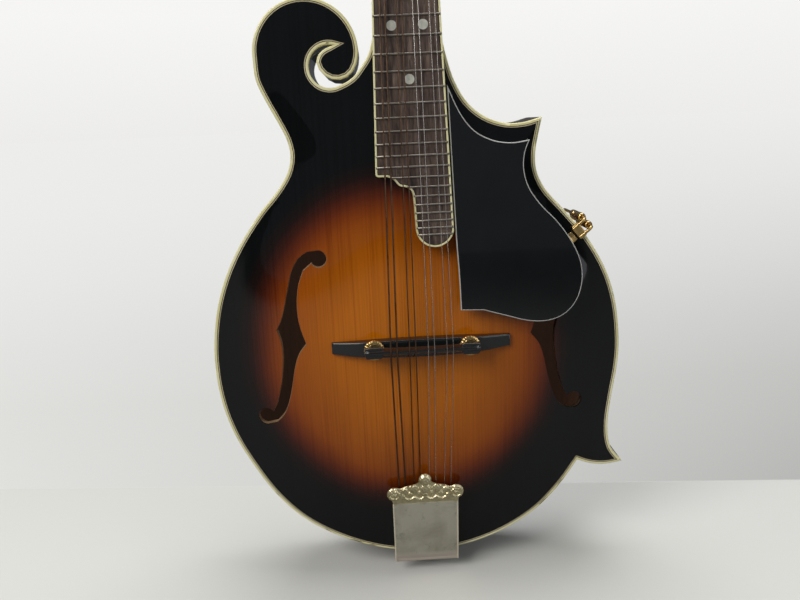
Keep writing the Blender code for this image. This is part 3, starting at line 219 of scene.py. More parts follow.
# How far a mitred corner may stand out, in lengths of the offset
SHARP_MITRE = 2.4

# Body outline as (across, along), counter-clockwise from the corner below the lower point.
LOWER_CORNER = (101.4, 59.8)
LOWER_TIP = (131, 57.2)
UPPER_TIP = (77, 279)
SLOT_TIP = (-41.2, 323.2)
LOWER_POINT_UNDER = [(106.5, 57.7), (113, 56), (121, 55.6)]
LOWER_POINT_TOP = [(127.2, 61.6), (123.3, 67.5), (121.2, 76), (121, 88)]
TREBLE_SIDE = [(123, 105), (125.8, 124), (126.4, 141), (123.6, 165), (117, 186), (105, 207)]
TREBLE_WAIST = [(90, 225), (79, 237.4), (73.8, 248.5), (73.1, 259), (75, 270)]
TREBLE_SHOULDER = [(66, 276.4), (55, 276.6), (43, 281), (33, 289.6), (26.2, 301.5), (22.2, 314)]
NECK_EDGE = [(19.4, 326), (-19.4, 326)]
SLOT_MOUTH = [(-22.2, 317.5), (-26.3, 311.4), (-32.2, 304.9)]
SLOT_OUTER = dict(centre=(-44.6, 311.8), radius=11.7, start=-72, end=-262, count=9)
BUTTON_TOP = [(-46, 321.6), (-49.8, 318.8)]
BUTTON = dict(centre=(-40.3, 315.9), radius=11.6, start=188, end=342, count=8)
SCROLL = dict(centre=(-57.6, 319.2), radius=29.8, start=0, end=186, count=13)
BASS_SHOULDER = [(-86.6, 306), (-82.2, 294.8), (-76.2, 282.6), (-71.6, 272)]
BASS_WAIST = [(-70.3, 262.5), (-73, 253), (-80, 242.8), (-91.5, 230)]
BASS_SIDE = [(-105, 211.5), (-115.8, 191), (-123.2, 168), (-126.8, 141), (-125.2, 114)]
BASS_BOUT = [(-119.3, 91), (-109.5, 69.5), (-96, 47), (-78, 27.6), (-54, 12.6), (-27, 2.9)]
TREBLE_BOUT = [(0, 0), (25, 2.2), (51, 11.2), (74, 25.8), (90, 43)]

F_HOLE_UPPER = dict(centre=(58, 203), radius=5.2, start=-33, end=-266, count=20)
F_HOLE_LOWER = dict(centre=(96.8, 103.8), radius=5.6, start=138, end=-86, count=20)
F_HOLE_OUTER = [(64.5, 207.4), (70, 203.6), (74.8, 195.5), (78, 184), (81.2, 172), (83.6, 165), (86.2, 160.4)]
F_HOLE_OUTER_LOW = [(86.2, 160.4), (84, 153), (83.6, 144), (84.6, 134), (86.6, 123.5), (90, 112)]
F_HOLE_INNER = [(90.4, 100), (85.2, 106), (81.4, 115.5), (78.8, 125.5), (76, 138), (73, 145.4), (68.2, 151.2)]
F_HOLE_INNER_HIGH = [(68.2, 151.2), (71, 160), (72.4, 169), (72.2, 179), (70.6, 188), (67.4, 196)]

FRETBOARD_SHOULDER = 99.6
FLORIDA_STEPS = [(-14.8, FRETBOARD_SHOULDER), (-11.4, 97.8), (-8.2, 94.2), (-4.2, 93.3), (-1.3, 90.8)]
FLORIDA_STEPS += [(-0.5, 84), (0, 71.5)]
FLORIDA_ROUND = dict(centre=(11.1, 69.6), radius=11.0, start=180, end=350, count=22)

PICKGUARD_TOP_EDGE = [(21.0, 149), (27.8, 133.5), (35.5, 123.4), (46, 117.6), (57, 115.8), (67, 117)]
PICKGUARD_WAIST = [(64.2, 110), (63.4, 101), (66, 90.5), (73, 80), (82.5, 69.8), (91, 57.5)]
PICKGUARD_BELLY = [(95.8, 46), (96.6, 35), (93.5, 24), (86.5, 15.8), (77, 12), (65, 12.2), (50, 16.4)]
PICKGUARD_CORNER = [(38, 20), (24.6, 20.6)]
PICKGUARD_SIDE = [(24.6, 20.6), (24.2, 40), (23.2, 62), (21.0, 149)]

HEAD_TREBLE = [(NUT_HALF_WIDTH, 0), (17, 7), (23.5, 14.5), (30, 22), (33.6, 33), (35.4, 62), (37.4, 92)]
HEAD_TREBLE += [(40.4, 112), (44, 122.5)]
HEAD_TOP = [(44, 122.5), (36, 121), (28, 124.5), (19, 131.5), (8, 135), (-4, 133.4), (-13, 129.5)]
HEAD_CURL = dict(centre=(-30.5, 134.5), radius=12.4, start=8, end=188, count=24)
HEAD_BASS = [(-41.6, 122), (-38.8, 106), (-37.2, 90), (-35.4, 62), (-33.6, 33), (-30, 22)]
HEAD_BASS += [(-23.5, 14.5), (-17, 7), (-NUT_HALF_WIDTH, 0)]


# Frames

def body_point(across, along, out):
    return (across, -out - BODY_DEPTH / 2, along + TAIL_HEIGHT)


def neck_point(across, along, out):
    up = SCALE_END_ALONG + along * math.cos(NECK_ANGLE) + out * math.sin(NECK_ANGLE)
    forward = SCALE_END_OUT - along * math.sin(NECK_ANGLE) + out * math.cos(NECK_ANGLE)
    return body_point(across, up, forward)


def head_point(across, along, out):
    up = HEAD_START + along * math.cos(HEAD_ANGLE) + out * math.sin(HEAD_ANGLE)
    forward = NECK_TOP - along * math.sin(HEAD_ANGLE) + out * math.cos(HEAD_ANGLE)
    return neck_point(across, up, forward)


def tailpiece_point(across, along, out):
    up = COVER_START_ALONG + along * math.cos(COVER_ANGLE) - out * math.sin(COVER_ANGLE)
    forward = COVER_START_OUT + along * math.sin(COVER_ANGLE) + out * math.cos(COVER_ANGLE)
    return body_point(across, up, forward)


def clamp_point(along_rim, outward, out):
    tangent = Vector((math.cos(CLAMP_DIRECTION), math.sin(CLAMP_DIRECTION)))
    normal = Vector((tangent.y, -tangent.x))
    place = Vector(CLAMP_PLACE) + tangent * along_rim + normal * outward
    return body_point(place.x, place.y, out)


def frame_matrix(flat_frame, origin):
    """The matrix that takes a point (across, along, out) from origin in a flat frame to millimetres."""
    start = Vector(flat_frame(*origin))
    matrix = Matrix.Translation(start)
    for index, step in enumerate(np.eye(3)):
        column = Vector(flat_frame(*np.add(origin, step))) - start
        for row in range(3):
            matrix[row][index] = column[row]
    return matrix


# Curves

def polar(radius, angle, centre=(0, 0)):
    """The flat point at a distance and an angle in radians from a centre."""
    return centre[0] + radius * math.cos(angle), centre[1] + radius * math.sin(angle)


def full_turn(count):
    return np.linspace(0, 2 * math.pi, count, endpoint=False)


def arc(centre, radius, start, end, count):
    """Points along a circle between two angles in degrees."""
    return [polar(radius, angle, centre) for angle in np.radians(np.linspace(start, end, count))]


def circle(centre, radius, count, turn=0.0):
    return [polar(radius, angle, centre) for angle in full_turn(count) + turn]


def rounded_rectangle(low, high, cut, count=8):
    """The outline between two corners, its own corners cut to arcs."""
    centres = [(high[0] - cut, low[1] + cut), (high[0] - cut, high[1] - cut)]
    centres += [(low[0] + cut, high[1] - cut), (low[0] + cut, low[1] + cut)]
    arcs = [arc(centre, cut, 90 * i - 90, 90 * i, count) for i, centre in enumerate(centres)]
    return list(itertools.chain(*arcs))


def mirrored(right):
    """A closed outline from its right half, which ends on the middle line."""
    return right + [(-x, y) for x, y in right[-2::-1]]


def smooth(points, spacing, closed=False):
    """A spline through points of any dimension, sampled about every spacing."""
    points = [np.array(point, float) for point in points]
    count = len(points)
    result = []
    for i in range(count if closed else count - 1):
        here, after = points[i], points[(i + 1) % count]
        before = points[i - 1] if closed or i else here
        beyond = points[(i + 2) % count] if closed or i + 2 < count else after
        chord = np.linalg.norm(after - here)
        leave = (after - before) * chord / (chord + np.linalg.norm(here - before))
        arrive = (beyond - here) * chord / (chord + np.linalg.norm(beyond - after))
        steps = max(1, round(chord / spacing))
        for t in np.arange(steps) / steps:
            blend = (2 * t**3 - 3 * t**2 + 1, t**3 - 2 * t**2 + t, 3 * t**2 - 2 * t**3, t**3 - t**2)
            result.append(tuple(blend[0] * here + blend[1] * leave + blend[2] * after + blend[3] * arrive))
    return result if closed else result + [tuple(points[-1])]


def offset(points, distance, closed=True):
    """The points moved to the left of their own direction by distance, with mitred corners."""
    path = np.array(points, float)
    if closed:
        before, after = np.roll(path, 1, axis=0), np.roll(path, -1, axis=0)
    else:
        before = np.vstack([2 * path[0] - path[1], path[:-1]])
        after = np.vstack([path[1:], 2 * path[-1] - path[-2]])
    first, second = path - before, after - path
    first /= np.linalg.norm(first, axis=1)[:, None]
    second /= np.linalg.norm(second, axis=1)[:, None]
    normals = np.stack([-(first + second)[:, 1], (first + second)[:, 0]], axis=1)
    lengths = np.maximum(np.linalg.norm(normals, axis=1), 1e-6)
    scale = np.minimum(2 / lengths, SHARP_MITRE) / lengths * distance
    return [tuple(point) for point in path + normals * scale[:, None]]


def inside(points, polygon):
    """Which of the points lie inside the polygon."""
    points, polygon = np.array(points, float), np.array(polygon, float)
    result = np.zeros(len(points), bool)
    for (x0, y0), (x1, y1) in zip(polygon, np.roll(polygon, -1, axis=0)):
        crosses = (y0 > points[:, 1]) != (y1 > points[:, 1])
        if y0 != y1:
            result ^= crosses & (points[:, 0] < (x1 - x0) * (points[:, 1] - y0) / (y1 - y0) + x0)
    return result


def smoothstep(value):
    t = np.clip(value, 0, 1)
    return t * t * (3 - 2 * t)


def body_outline(fineness):
    """The body's edge, counter-clockwise, as splines between its sharp corners."""
    bass = BASS_SHOULDER + BASS_WAIST + BASS_SIDE + BASS_BOUT + TREBLE_BOUT
    stretches = (
        ([LOWER_CORNER, *LOWER_POINT_UNDER, LOWER_TIP], 12),
        ([LOWER_TIP, *LOWER_POINT_TOP, *TREBLE_SIDE, *TREBLE_WAIST, UPPER_TIP], 13),
        ([UPPER_TIP, *TREBLE_SHOULDER, NECK_EDGE[0]], 9),
        ([NECK_EDGE[1], *SLOT_MOUTH, *arc(**SLOT_OUTER), SLOT_TIP], 6),
        ([SLOT_TIP, *BUTTON_TOP, *arc(**BUTTON), *arc(**SCROLL), *bass, LOWER_CORNER], 14),
    )
    outline = []
    for points, spacing in stretches:
        stretch = smooth(points, spacing / fineness)
        outline += stretch if points[-1] == NECK_EDGE[0] else stretch[:-1]
    return outline


OUTLINE = [(max(x, BASS_LIMIT), y) for x, y in body_outline(4.5)]


def edge_samples(outline, spacing=1.5):
    """Points along the body's edge and the length that each stands for."""
    points, lengths = [], []
    for start, end in zip(outline, outline[1:] + outline[:1]):
        start, end = np.array(start), np.array(end)
        length = np.linalg.norm(end - start)
        count = max(1, round(length / spacing))
        points += [start + (end - start) * (i + 0.5) / count for i in range(count)]
        lengths += [length / count] * count
    return np.array(points), np.array(lengths)


EDGE, EDGE_LENGTHS = edge_samples(body_outline(1))


def edge_distance(across, along):
    """A smooth distance to the body's edge, for numbers or arrays."""
    across, along = np.atleast_1d(across), np.atleast_1d(along)
    apart = np.hypot(EDGE[None, :, 0] - across[:, None], EDGE[None, :, 1] - along[:, None])
    apart = np.maximum(apart, 0.75)
    return np.sum(0.5 * EDGE_LENGTHS / apart**3, axis=1) ** -0.5


def arch(across, along, rise):
    """How far a plate stands out above its edge."""
    return rise * smoothstep(edge_distance(across, along) / ARCH_REACH)


def plate_inside(across, along, rise):
    """The inner face: flat where ribs and blocks are glued, then parallel to the arch."""
    free = smoothstep((edge_distance(across, along) - GLUED_WIDTH) / HOLLOW_RAMP)
    free = free * (1 - smoothstep((along - HEAD_BLOCK_END + HEAD_BLOCK_MARGIN) / HOLLOW_RAMP))
    free = free * smoothstep((along - TAIL_BLOCK_END) / TAIL_BLOCK_RAMP)
    return -EDGE_THICKNESS + (arch(across, along, rise) - PLATE_THICKNESS + EDGE_THICKNESS) * free


def fretboard_half(along):
    return NUT_HALF_WIDTH + FRETBOARD_FLARE * (SCALE_LENGTH - along)


def string_spread(course, pair):
    return [(c - 1.5) * course + side * pair / 2 for c in range(4) for side in (-1, 1)]


def post_places(side):
    return [(side * POST_ACROSS, FIRST_POST + i * POST_SPACING) for i in range(POSTS_PER_SIDE)]


# Meshes, each (points, faces) in millimetres

def grid_points(outer, holes, spacing):
    """A hexagonal grid of points inside a region, clear of its edges."""
    low, high = np.min(outer, axis=0), np.max(outer, axis=0)
    rows = np.arange(low[1], high[1], spacing * 0.866)
    columns = np.arange(low[0], high[0], spacing)
    grid = np.array([(x + (i % 2) * spacing / 2, y) for i, y in enumerate(rows) for x in columns])
    keep = inside(grid, outer)
    for hole in holes:
        keep &= ~inside(grid, hole)
    grid = grid[keep]
    border = np.vstack([np.array(loop) for loop in [outer, *holes]])
    nearest = np.array([np.min(np.hypot(*(border - point).T)) for point in grid])
    return [tuple(point) for point in grid[nearest > 0.6 * spacing]]


def heights(height, flat):
    if callable(height):
        return np.broadcast_to(height(flat[:, 0], flat[:, 1]), len(flat))
    return np.full(len(flat), float(height))


def triangulated(loops, spacing, tolerance):
    """A flat region's points and triangles, and which input points became each. Its outside is loops[0]."""
    extra = grid_points(loops[0], loops[1:], spacing) if spacing else []
    plan = [Vector(point) for loop in [*loops, extra] for point in loop]
    edges, start = [], 0
    for loop in loops:
        edges += [(start + i, start + (i + 1) % len(loop)) for i in range(len(loop))]
        start += len(loop)
    flat, _, triangles, origins, *_ = delaunay_2d_cdt(plan, edges, [], 1, tolerance)
    flat = np.array([tuple(point) for point in flat])
    middles = np.array([flat[list(face)].mean(axis=0) for face in triangles])
    keep = inside(middles, loops[0])
    for hole in loops[1:]:
        keep &= ~inside(middles, hole)
    return flat, [tuple(face) for face, kept in zip(triangles, keep) if kept], origins


def two_faces(flat, triangles, fronts, backs, flat_frame):
    """The front and back of a solid over a flat region, without its sides."""
    points = [flat_frame(x, y, h) for levels in (fronts, backs) for (x, y), h in zip(flat, levels)]
    return points, triangles + [tuple(i + len(flat) for i in reversed(face)) for face in triangles]


def slab(outer, front, back, flat_frame=body_point, holes=(), spacing=None):
    """A solid over a flat region, between two faces that are heights or functions of arrays."""
    flat, triangles, _ = triangulated([outer, *holes], spacing, 1e-5)
    count = len(flat)
    points, faces = two_faces(flat, triangles, heights(front, flat), heights(back, flat), flat_frame)
    directed = {(a, b) for face in triangles for a, b in zip(face, (*face[1:], face[0]))}
    faces += [(b, a, a + count, b + count) for a, b in sorted(directed) if (b, a) not in directed]
    return points, faces


def swept(path, profile, flat_frame=body_point, closed=True):
    """A closed profile of (inset, out) carried round a flat path, inset to the path's left."""
    rails = [offset(path, inset, closed) if inset else path for inset, _ in profile]
    outs = [out for _, out in profile]
    sections = [[flat_frame(*place, out) for place, out in zip(places, outs)] for places in zip(*rails)]
    return loft(sections, closed)


def loft(sections, closed=False):
    """A solid through closed sections that have the same number of points."""
    count, total = len(sections[0]), len(sections)
    points = [point for section in sections for point in section]
    faces = []
    if not closed:
        faces += [tuple(range(count)), tuple(range(len(points) - 1, len(points) - count - 1, -1))]
    for i in range(total if closed else total - 1):
        here, after = i * count, (i + 1) % total * count
        for j, k in zip(range(count), [*range(1, count), 0]):
            faces.append((here + k, here + j, after + j, after + k))
    return points, faces


def lathe(profile, matrix, count=24):
    """A turned solid: profile is (radius, height) from one end to the other."""
    rings = []
    for radius, height in profile:
        ring = circle((0, 0), max(radius, 1e-3), count)
        rings.append([tuple(matrix @ Vector((x, y, height))) for x, y in ring])
    return loft(rings)


def bored(profile, bore, matrix, count=24):
    """A turned solid with a straight hole: profile is its outer side, from one end to the other."""
    whole = [(bore, profile[0][1]), *profile, (bore, profile[-1][1])]
    sections = []
    for angle in full_turn(count):
        turn = Matrix.Rotation(angle, 4, "Z")
        sections.append([tuple(matrix @ turn @ Vector((radius, 0, height))) for radius, height in whole])
    return loft(sections, closed=True)


def tube(path, radius, count=10, closed=False):
    """A round rod along a path of points in space."""
    points = [Vector(point) for point in path]
    sections, side = [], None
    last = len(points) - 1
    for i, point in enumerate(points):
        before = points[i - 1] if closed or i else point
        after = points[(i + 1) % len(points)] if closed or i < last else point
        direction = (after - before).normalized()
        if side is None:
            side = direction.orthogonal()
        side = (side - direction * side.dot(direction)).normalized()
        up = direction.cross(side)
        sections.append([tuple(point + side * x + up * y) for x, y in circle((0, 0), radius, count)])
    return loft(sections, closed)


def block(flat_frame, low, high):
    """A box between two corners of a flat frame."""
    points = [flat_frame(*corner) for corner in itertools.product(*zip(low, high))]
    faces = [(0, 1, 3, 2), (4, 6, 7, 5), (0, 4, 5, 1), (2, 3, 7, 6), (0, 2, 6, 4), (1, 5, 7, 3)]
    return points, faces


def joined(meshes):
    """Several meshes as one."""
    points, faces = [], []
    for some_points, some_faces in meshes:
        start = len(points)
        points += list(some_points)
        faces += [tuple(i + start for i in face) for face in some_faces]
    return points, faces


def moved(mesh_data, matrix):
    points, faces = mesh_data
    return [tuple(matrix @ Vector(point)) for point in points], faces


def screw(matrix, radius=1.6, height=0.7):
    """A round-headed screw with a slot, standing on the local XY plane."""
    half = radius * 0.16
    ring = circle((0, 0), radius, 24, math.pi / 24)
    slot_floor, foot, core = height * 0.09, -0.2, radius * 0.98
    parts = []
    for side in (-1, 1):
        outline = [(x, side * max(side * y, half)) for x, y in ring if side * y > 0]

        def crown(x, y):
            return height * np.sqrt(np.clip(1 - (x * x + y * y) / radius**2, 0.02, 1))

        parts.append(slab(outline, crown, foot, lambda x, y, z: (x, y, z), spacing=radius / 4))
    parts.append(lathe([(0, foot), (core, foot), (core, slot_floor), (0, slot_floor)], Matrix()))
    return moved(joined(parts), matrix)


def inset(outline, distance):
    """The outline moved inwards, without the loops that an offset makes at tight corners."""
    path = np.array(outline)
    moved_path = np.array(offset(outline, distance))
    after = np.roll(path, -1, axis=0)
    along = after - path
    lengths = np.sum(along**2, axis=1)
    kept = []
    for point in moved_path:
        part = np.clip(np.sum((point - path) * along, axis=1) / lengths, 0, 1)
        nearest = np.min(np.hypot(*(path + along * part[:, None] - point).T))
        if nearest > 0.97 * distance:
            kept.append(tuple(point))
    return kept


def rounded_slab(outline, front, back, radius, flat_frame=body_point, spacing=None, steps=4, both=False):
    """A slab whose front edge, or both edges, are rounded with the radius."""
    count = len(outline)
    flat, triangles, origins = triangulated([offset(outline, radius)], spacing, 1e-6)
    place_of = {source: index for index, sources in enumerate(origins) for source in sources}
    border = [place_of[i] for i in range(count)]
    fronts, backs = heights(front, flat), heights(back, flat)
    points, faces = two_faces(flat, triangles, fronts, backs, flat_frame)
    angles = np.linspace(0, math.pi / 2, steps + 1)[1:]
    turns = [(fronts, -1, angle) for angle in angles]
    turns += [(backs, 1, angle) for angle in angles[::-1]] if both else [(backs, 0, angles[-1])]
    rings = [border]
    for levels, sign, angle in turns:
        rail = offset(outline, radius * (1 - math.sin(angle)))
        step = sign * radius * (1 - math.cos(angle))
        rings.append(list(range(len(points), len(points) + count)))
        points += [flat_frame(*point, levels[place] + step) for point, place in zip(rail, border)]
    rings.append([i + len(flat) for i in border])
    for here, after in zip(rings, rings[1:]):
        faces += [(here[i], here[(i + 1) % count], after[(i + 1) % count], after[i]) for i in range(count)]
    return points, faces


# Finishes

class Finish:
    """A material whose node tree is built one node at a time."""

    def __init__(self, name, **settings):
        self.material = bpy.data.materials.new(name)
        self.material.use_nodes = True
        self.tree = self.material.node_tree
        self.shader = self.tree.nodes["Principled BSDF"]
        for socket, value in settings.items():
            self.shader.inputs[socket.replace("_", " ")].default_value = value

    def node(self, kind, inputs=None, **settings):
        made = self.tree.nodes.new("ShaderNode" + kind)
        for key, value in settings.items():
            setattr(made, key, value)
        for socket, value in (inputs or {}).items():
            self.put(made.inputs[socket], value)
        return made

    def put(self, socket, value):
        """Links a socket to another node's output, or sets its value."""
        if isinstance(value, bpy.types.NodeSocket):
            self.tree.links.new(value, socket)
        elif isinstance(value, tuple) and len(value) == 3 and socket.type == "RGBA":
            socket.default_value = (*value, 1)
        else:
            socket.default_value = value

    def place(self, scale=(1, 1, 1), spin=0.0):
        """Object coordinates, stretched by the scale."""
        coordinates = self.node("TexCoord").outputs["Object"]
        mapping = self.node("Mapping", {"Vector": coordinates, "Scale": scale, "Rotation": (0, spin, 0)})
        return mapping.outputs["Vector"]

    def noise(self, scale, stretch=(1, 1, 1), detail=4.0, roughness=0.55, distortion=0.0, spin=0.0):
        inputs = {"Vector": self.place(stretch, spin), "Scale": scale, "Detail": detail}
        inputs.update({"Roughness": roughness, "Distortion": distortion})
        return self.node("TexNoise", inputs).outputs["Fac"]

    def ramp(self, value, stops):
        made = self.node("ValToRGB", {"Fac": value})
        elements = made.color_ramp.elements
        while len(elements) < len(stops):
            elements.new(0.5)
        for element, (position, colour) in zip(elements, stops):
            element.position = position
            element.color = (*colour, 1) if isinstance(colour, tuple) else (colour, colour, colour, 1)
        return made.outputs["Color"]

    def mix(self, share, first, second, mode="MIX"):
        made = self.node("Mix", data_type="RGBA", blend_type=mode)
        self.put(made.inputs[0], share)
        self.put(made.inputs[6], first)
        self.put(made.inputs[7], second)
        return made.outputs[2]

    def math(self, operation, first, second=0.0):
        made = self.node("Math", operation=operation)
        self.put(made.inputs[0], first)
        self.put(made.inputs[1], second)
        return made.outputs["Value"]

    def colour(self, value):
        self.put(self.shader.inputs["Base Color"], value)

    def rough(self, value, low, high):
        """Roughness that follows a texture between two values."""
        spread = self.node("MapRange", {"Value": value, "To Min": low, "To Max": high})
        self.put(self.shader.inputs["Roughness"], spread.outputs["Result"])

    def bump(self, value, strength, distance=0.0002):
        inputs = {"Height": value, "Strength": strength, "Distance": distance}
        self.put(self.shader.inputs["Normal"], self.node("Bump", inputs).outputs["Normal"])


def burst_radius(finish, reach):
    """The distance across the face from the middle of the sunburst, over the reach, a little uneven."""
    centre = Vector(body_point(*BURST_CENTRE, 0)) * MM
    coordinates = finish.node("TexCoord").outputs["Object"]
    split = finish.node("SeparateXYZ", {"Vector": coordinates})
    across = finish.math("SUBTRACT", split.outputs["X"], centre.x)
    along = finish.math("DIVIDE", finish.math("SUBTRACT", split.outputs["Z"], centre.z), BURST_LENGTHENED)
    squares = [finish.math("MULTIPLY", value, value) for value in (across, along)]
    away = finish.math("DIVIDE", finish.math("SQRT", finish.math("ADD", *squares)), reach * MM)
    uneven = finish.math("MULTIPLY", finish.math("SUBTRACT", finish.noise(14, detail=2), 0.5), 0.05)
    return finish.math("ADD", away, uneven)


# The clear coat alone shines: the wood under it has no gloss of its own
VARNISH = dict(Coat_Weight=1.0, Coat_IOR=1.5, Specular_IOR_Level=0.0)


def varnished_top():
    finish = Finish("varnished_top", Coat_Roughness=0.04, **VARNISH)
    stops = [(0.0, (0.55, 0.158, 0.004)), (0.38, (0.54, 0.148, 0.004)), (0.545, (0.42, 0.108, 0.004))]
    stops += [(0.655, (0.35, 0.083, 0.004)), (0.71, (0.3, 0.066, 0.004)), (0.764, (0.215, 0.042, 0.004))]
    stops += [(0.818, (0.12, 0.022, 0.005)), (0.873, (0.046, 0.01, 0.005)), (0.927, (0.013, 0.006, 0.005))]
    stops += [(1.0, (0.0045, 0.0052, 0.0056))]
    burst = finish.ramp(burst_radius(finish, BURST_RADIUS), stops)
    grain = finish.noise(60, (16, 1, 0.12), detail=3, roughness=0.6)
    lines = finish.ramp(grain, [(0.3, (0.72, 0.62, 0.5)), (0.52, (1, 1, 1)), (0.75, (1.12, 1.12, 1.05))])
    cloud = finish.ramp(finish.noise(22, (1, 1, 0.5), detail=3), [(0.3, 0.86), (0.7, 1.08)])
    coloured = finish.mix(1.0, finish.mix(0.85, burst, lines, "MULTIPLY"), cloud, "MULTIPLY")
    finish.colour(coloured)
    finish.rough(finish.noise(40, detail=5), 0.3, 0.42)
    finish.bump(finish.noise(90, (14, 1, 0.4), detail=2), 0.05)
    return finish.material


def varnished_maple(name, light, dark, burst):
    """Figured maple under varnish, shaded towards its edges when burst is set."""
    finish = Finish(name, Coat_Roughness=0.05, **VARNISH)
    flame = finish.noise(26, (0.35, 0.35, 3.2), detail=2, distortion=0.7)
    figure = finish.ramp(flame, [(0.32, dark), (0.5, light), (0.68, dark)])
    fibre = finish.ramp(finish.noise(70, (12, 12, 0.5), detail=3), [(0.3, 0.8), (0.7, 1.1)])
    coloured = finish.mix(0.8, figure, fibre, "MULTIPLY")
    if burst:
        shade = finish.ramp(burst_radius(finish, BURST_RADIUS), [(0.45, 1.0), (0.75, 0.35), (0.95, 0.04)])
        coloured = finish.mix(1.0, coloured, shade, "MULTIPLY")
    finish.colour(coloured)
    finish.rough(finish.noise(50, detail=4), 0.28, 0.42)
    finish.bump(flame, 0.04)
    return finish.material


def plain_finish(name, dark, light, scale, low, high, stretch=(1, 1, 1), bump=0.05, detail=4, **settings):
    """A surface whose colour wanders between two values, with uneven roughness."""
    finish = Finish(name, **settings)
    wander = finish.noise(scale, stretch, detail=detail)
    finish.colour(finish.ramp(wander, [(0.3, dark), (0.7, light)]))
    finish.rough(finish.noise(scale * 2.3, stretch, detail=3), low, high)
    if bump:
        finish.bump(finish.noise(scale * 6, stretch, detail=3), bump, 0.0001)
    return finish.material


def rosewood_finish():
    finish = Finish("rosewood_board", Specular_IOR_Level=0.45)
    streaks = finish.noise(42, (9, 9, 0.35), detail=6, roughness=0.65, distortion=0.3)
    stops = [(0.3, (0.012, 0.008, 0.0065)), (0.45, (0.062, 0.037, 0.028)), (0.58, (0.12, 0.08, 0.062))]
    stops += [(0.72, (0.25, 0.18, 0.145))]
    base = finish.ramp(streaks, stops)
    pores = finish.ramp(finish.noise(240, (6, 6, 0.5), detail=2), [(0.36, 0.35), (0.44, 1.0)])
    finish.colour(finish.mix(0.75, base, pores, "MULTIPLY"))
    finish.rough(finish.noise(60, detail=4), 0.42, 0.6)
    finish.bump(finish.noise(240, (6, 6, 0.5), detail=2), 0.12)
    return finish.material


def worn_metal(name, bright, tarnish, scale, low, high, share=(0.42, 0.72), spots=None):
    """Plated metal with tarnish clouds, and darker spots when given."""
    finish = Finish(name, Metallic=1.0)
    cloud = finish.noise(scale, detail=6, roughness=0.62, distortion=0.4)
    colour = finish.ramp(cloud, [(share[0], bright), (share[1], tarnish)])
    if spots:
        dots = finish.ramp(finish.noise(scale * 4, detail=5, roughness=0.7), [(0.56, 1.0), (0.68, 0.25)])
        colour = finish.mix(spots, colour, dots, "MULTIPLY")
    finish.colour(colour)
    finish.rough(cloud, low, high)
    finish.bump(finish.noise(scale * 9, detail=3), 0.04, 0.0001)
    return finish.material


def cover_metal():
    """Tarnished champagne plating, with a painted highlight that makes it lighter and pinker over the bend at
    its lower end, where it is also rougher.
    """
    finish = Finish("champagne_metal", Metallic=0.72)
    cloud = finish.noise(48, detail=6, roughness=0.62, distortion=0.4)
    colour = finish.ramp(cloud, [(0.42, (0.8, 0.77, 0.62)), (0.72, (0.56, 0.53, 0.4))])
    dots = finish.ramp(finish.noise(170, detail=5, roughness=0.7), [(0.56, 1.0), (0.68, 0.35)])
    colour = finish.mix(0.35, colour, dots, "MULTIPLY")
    # Painted highlight: over the bend at the lower end the colour turns lighter and pinker, as if lit
    split = finish.node("SeparateXYZ", {"Vector": finish.node("TexCoord").outputs["Object"]})
    high = tailpiece_point(0, HIGHLIGHT_BAND_END, 0)[2] * MM
    inputs = {"Value": split.outputs["Z"], "From Min": high - HIGHLIGHT_BAND_FADE * MM, "From Max": high}
    inputs.update({"To Min": 1.0, "To Max": 0.0})
    band = finish.node("MapRange", inputs).outputs["Result"]
    finish.colour(finish.mix(band, colour, (0.95, 0.84, 0.72)))
    spread = finish.math("ADD", finish.math("MULTIPLY", cloud, 0.25), 0.24)
    roughness = finish.math("ADD", spread, finish.math("MULTIPLY", band, 0.15))
    finish.put(finish.shader.inputs["Roughness"], roughness)
    finish.bump(finish.noise(430, detail=3), 0.04, 0.0001)
    return finish.material


def gloss_black(name, colour=(0.006, 0.0065, 0.007), roughness=0.09):
    finish = Finish(name, Coat_Weight=0.6, Coat_Roughness=0.03, Specular_IOR_Level=0.5)
    haze = finish.noise(18, detail=5)
    finish.colour(finish.ramp(haze, [(0.3, colour), (0.75, tuple(1.8 * c for c in colour))]))
    finish.rough(finish.noise(70, (1, 1, 4), detail=5, roughness=0.7), roughness * 0.7, roughness * 1.8)
    return finish.material


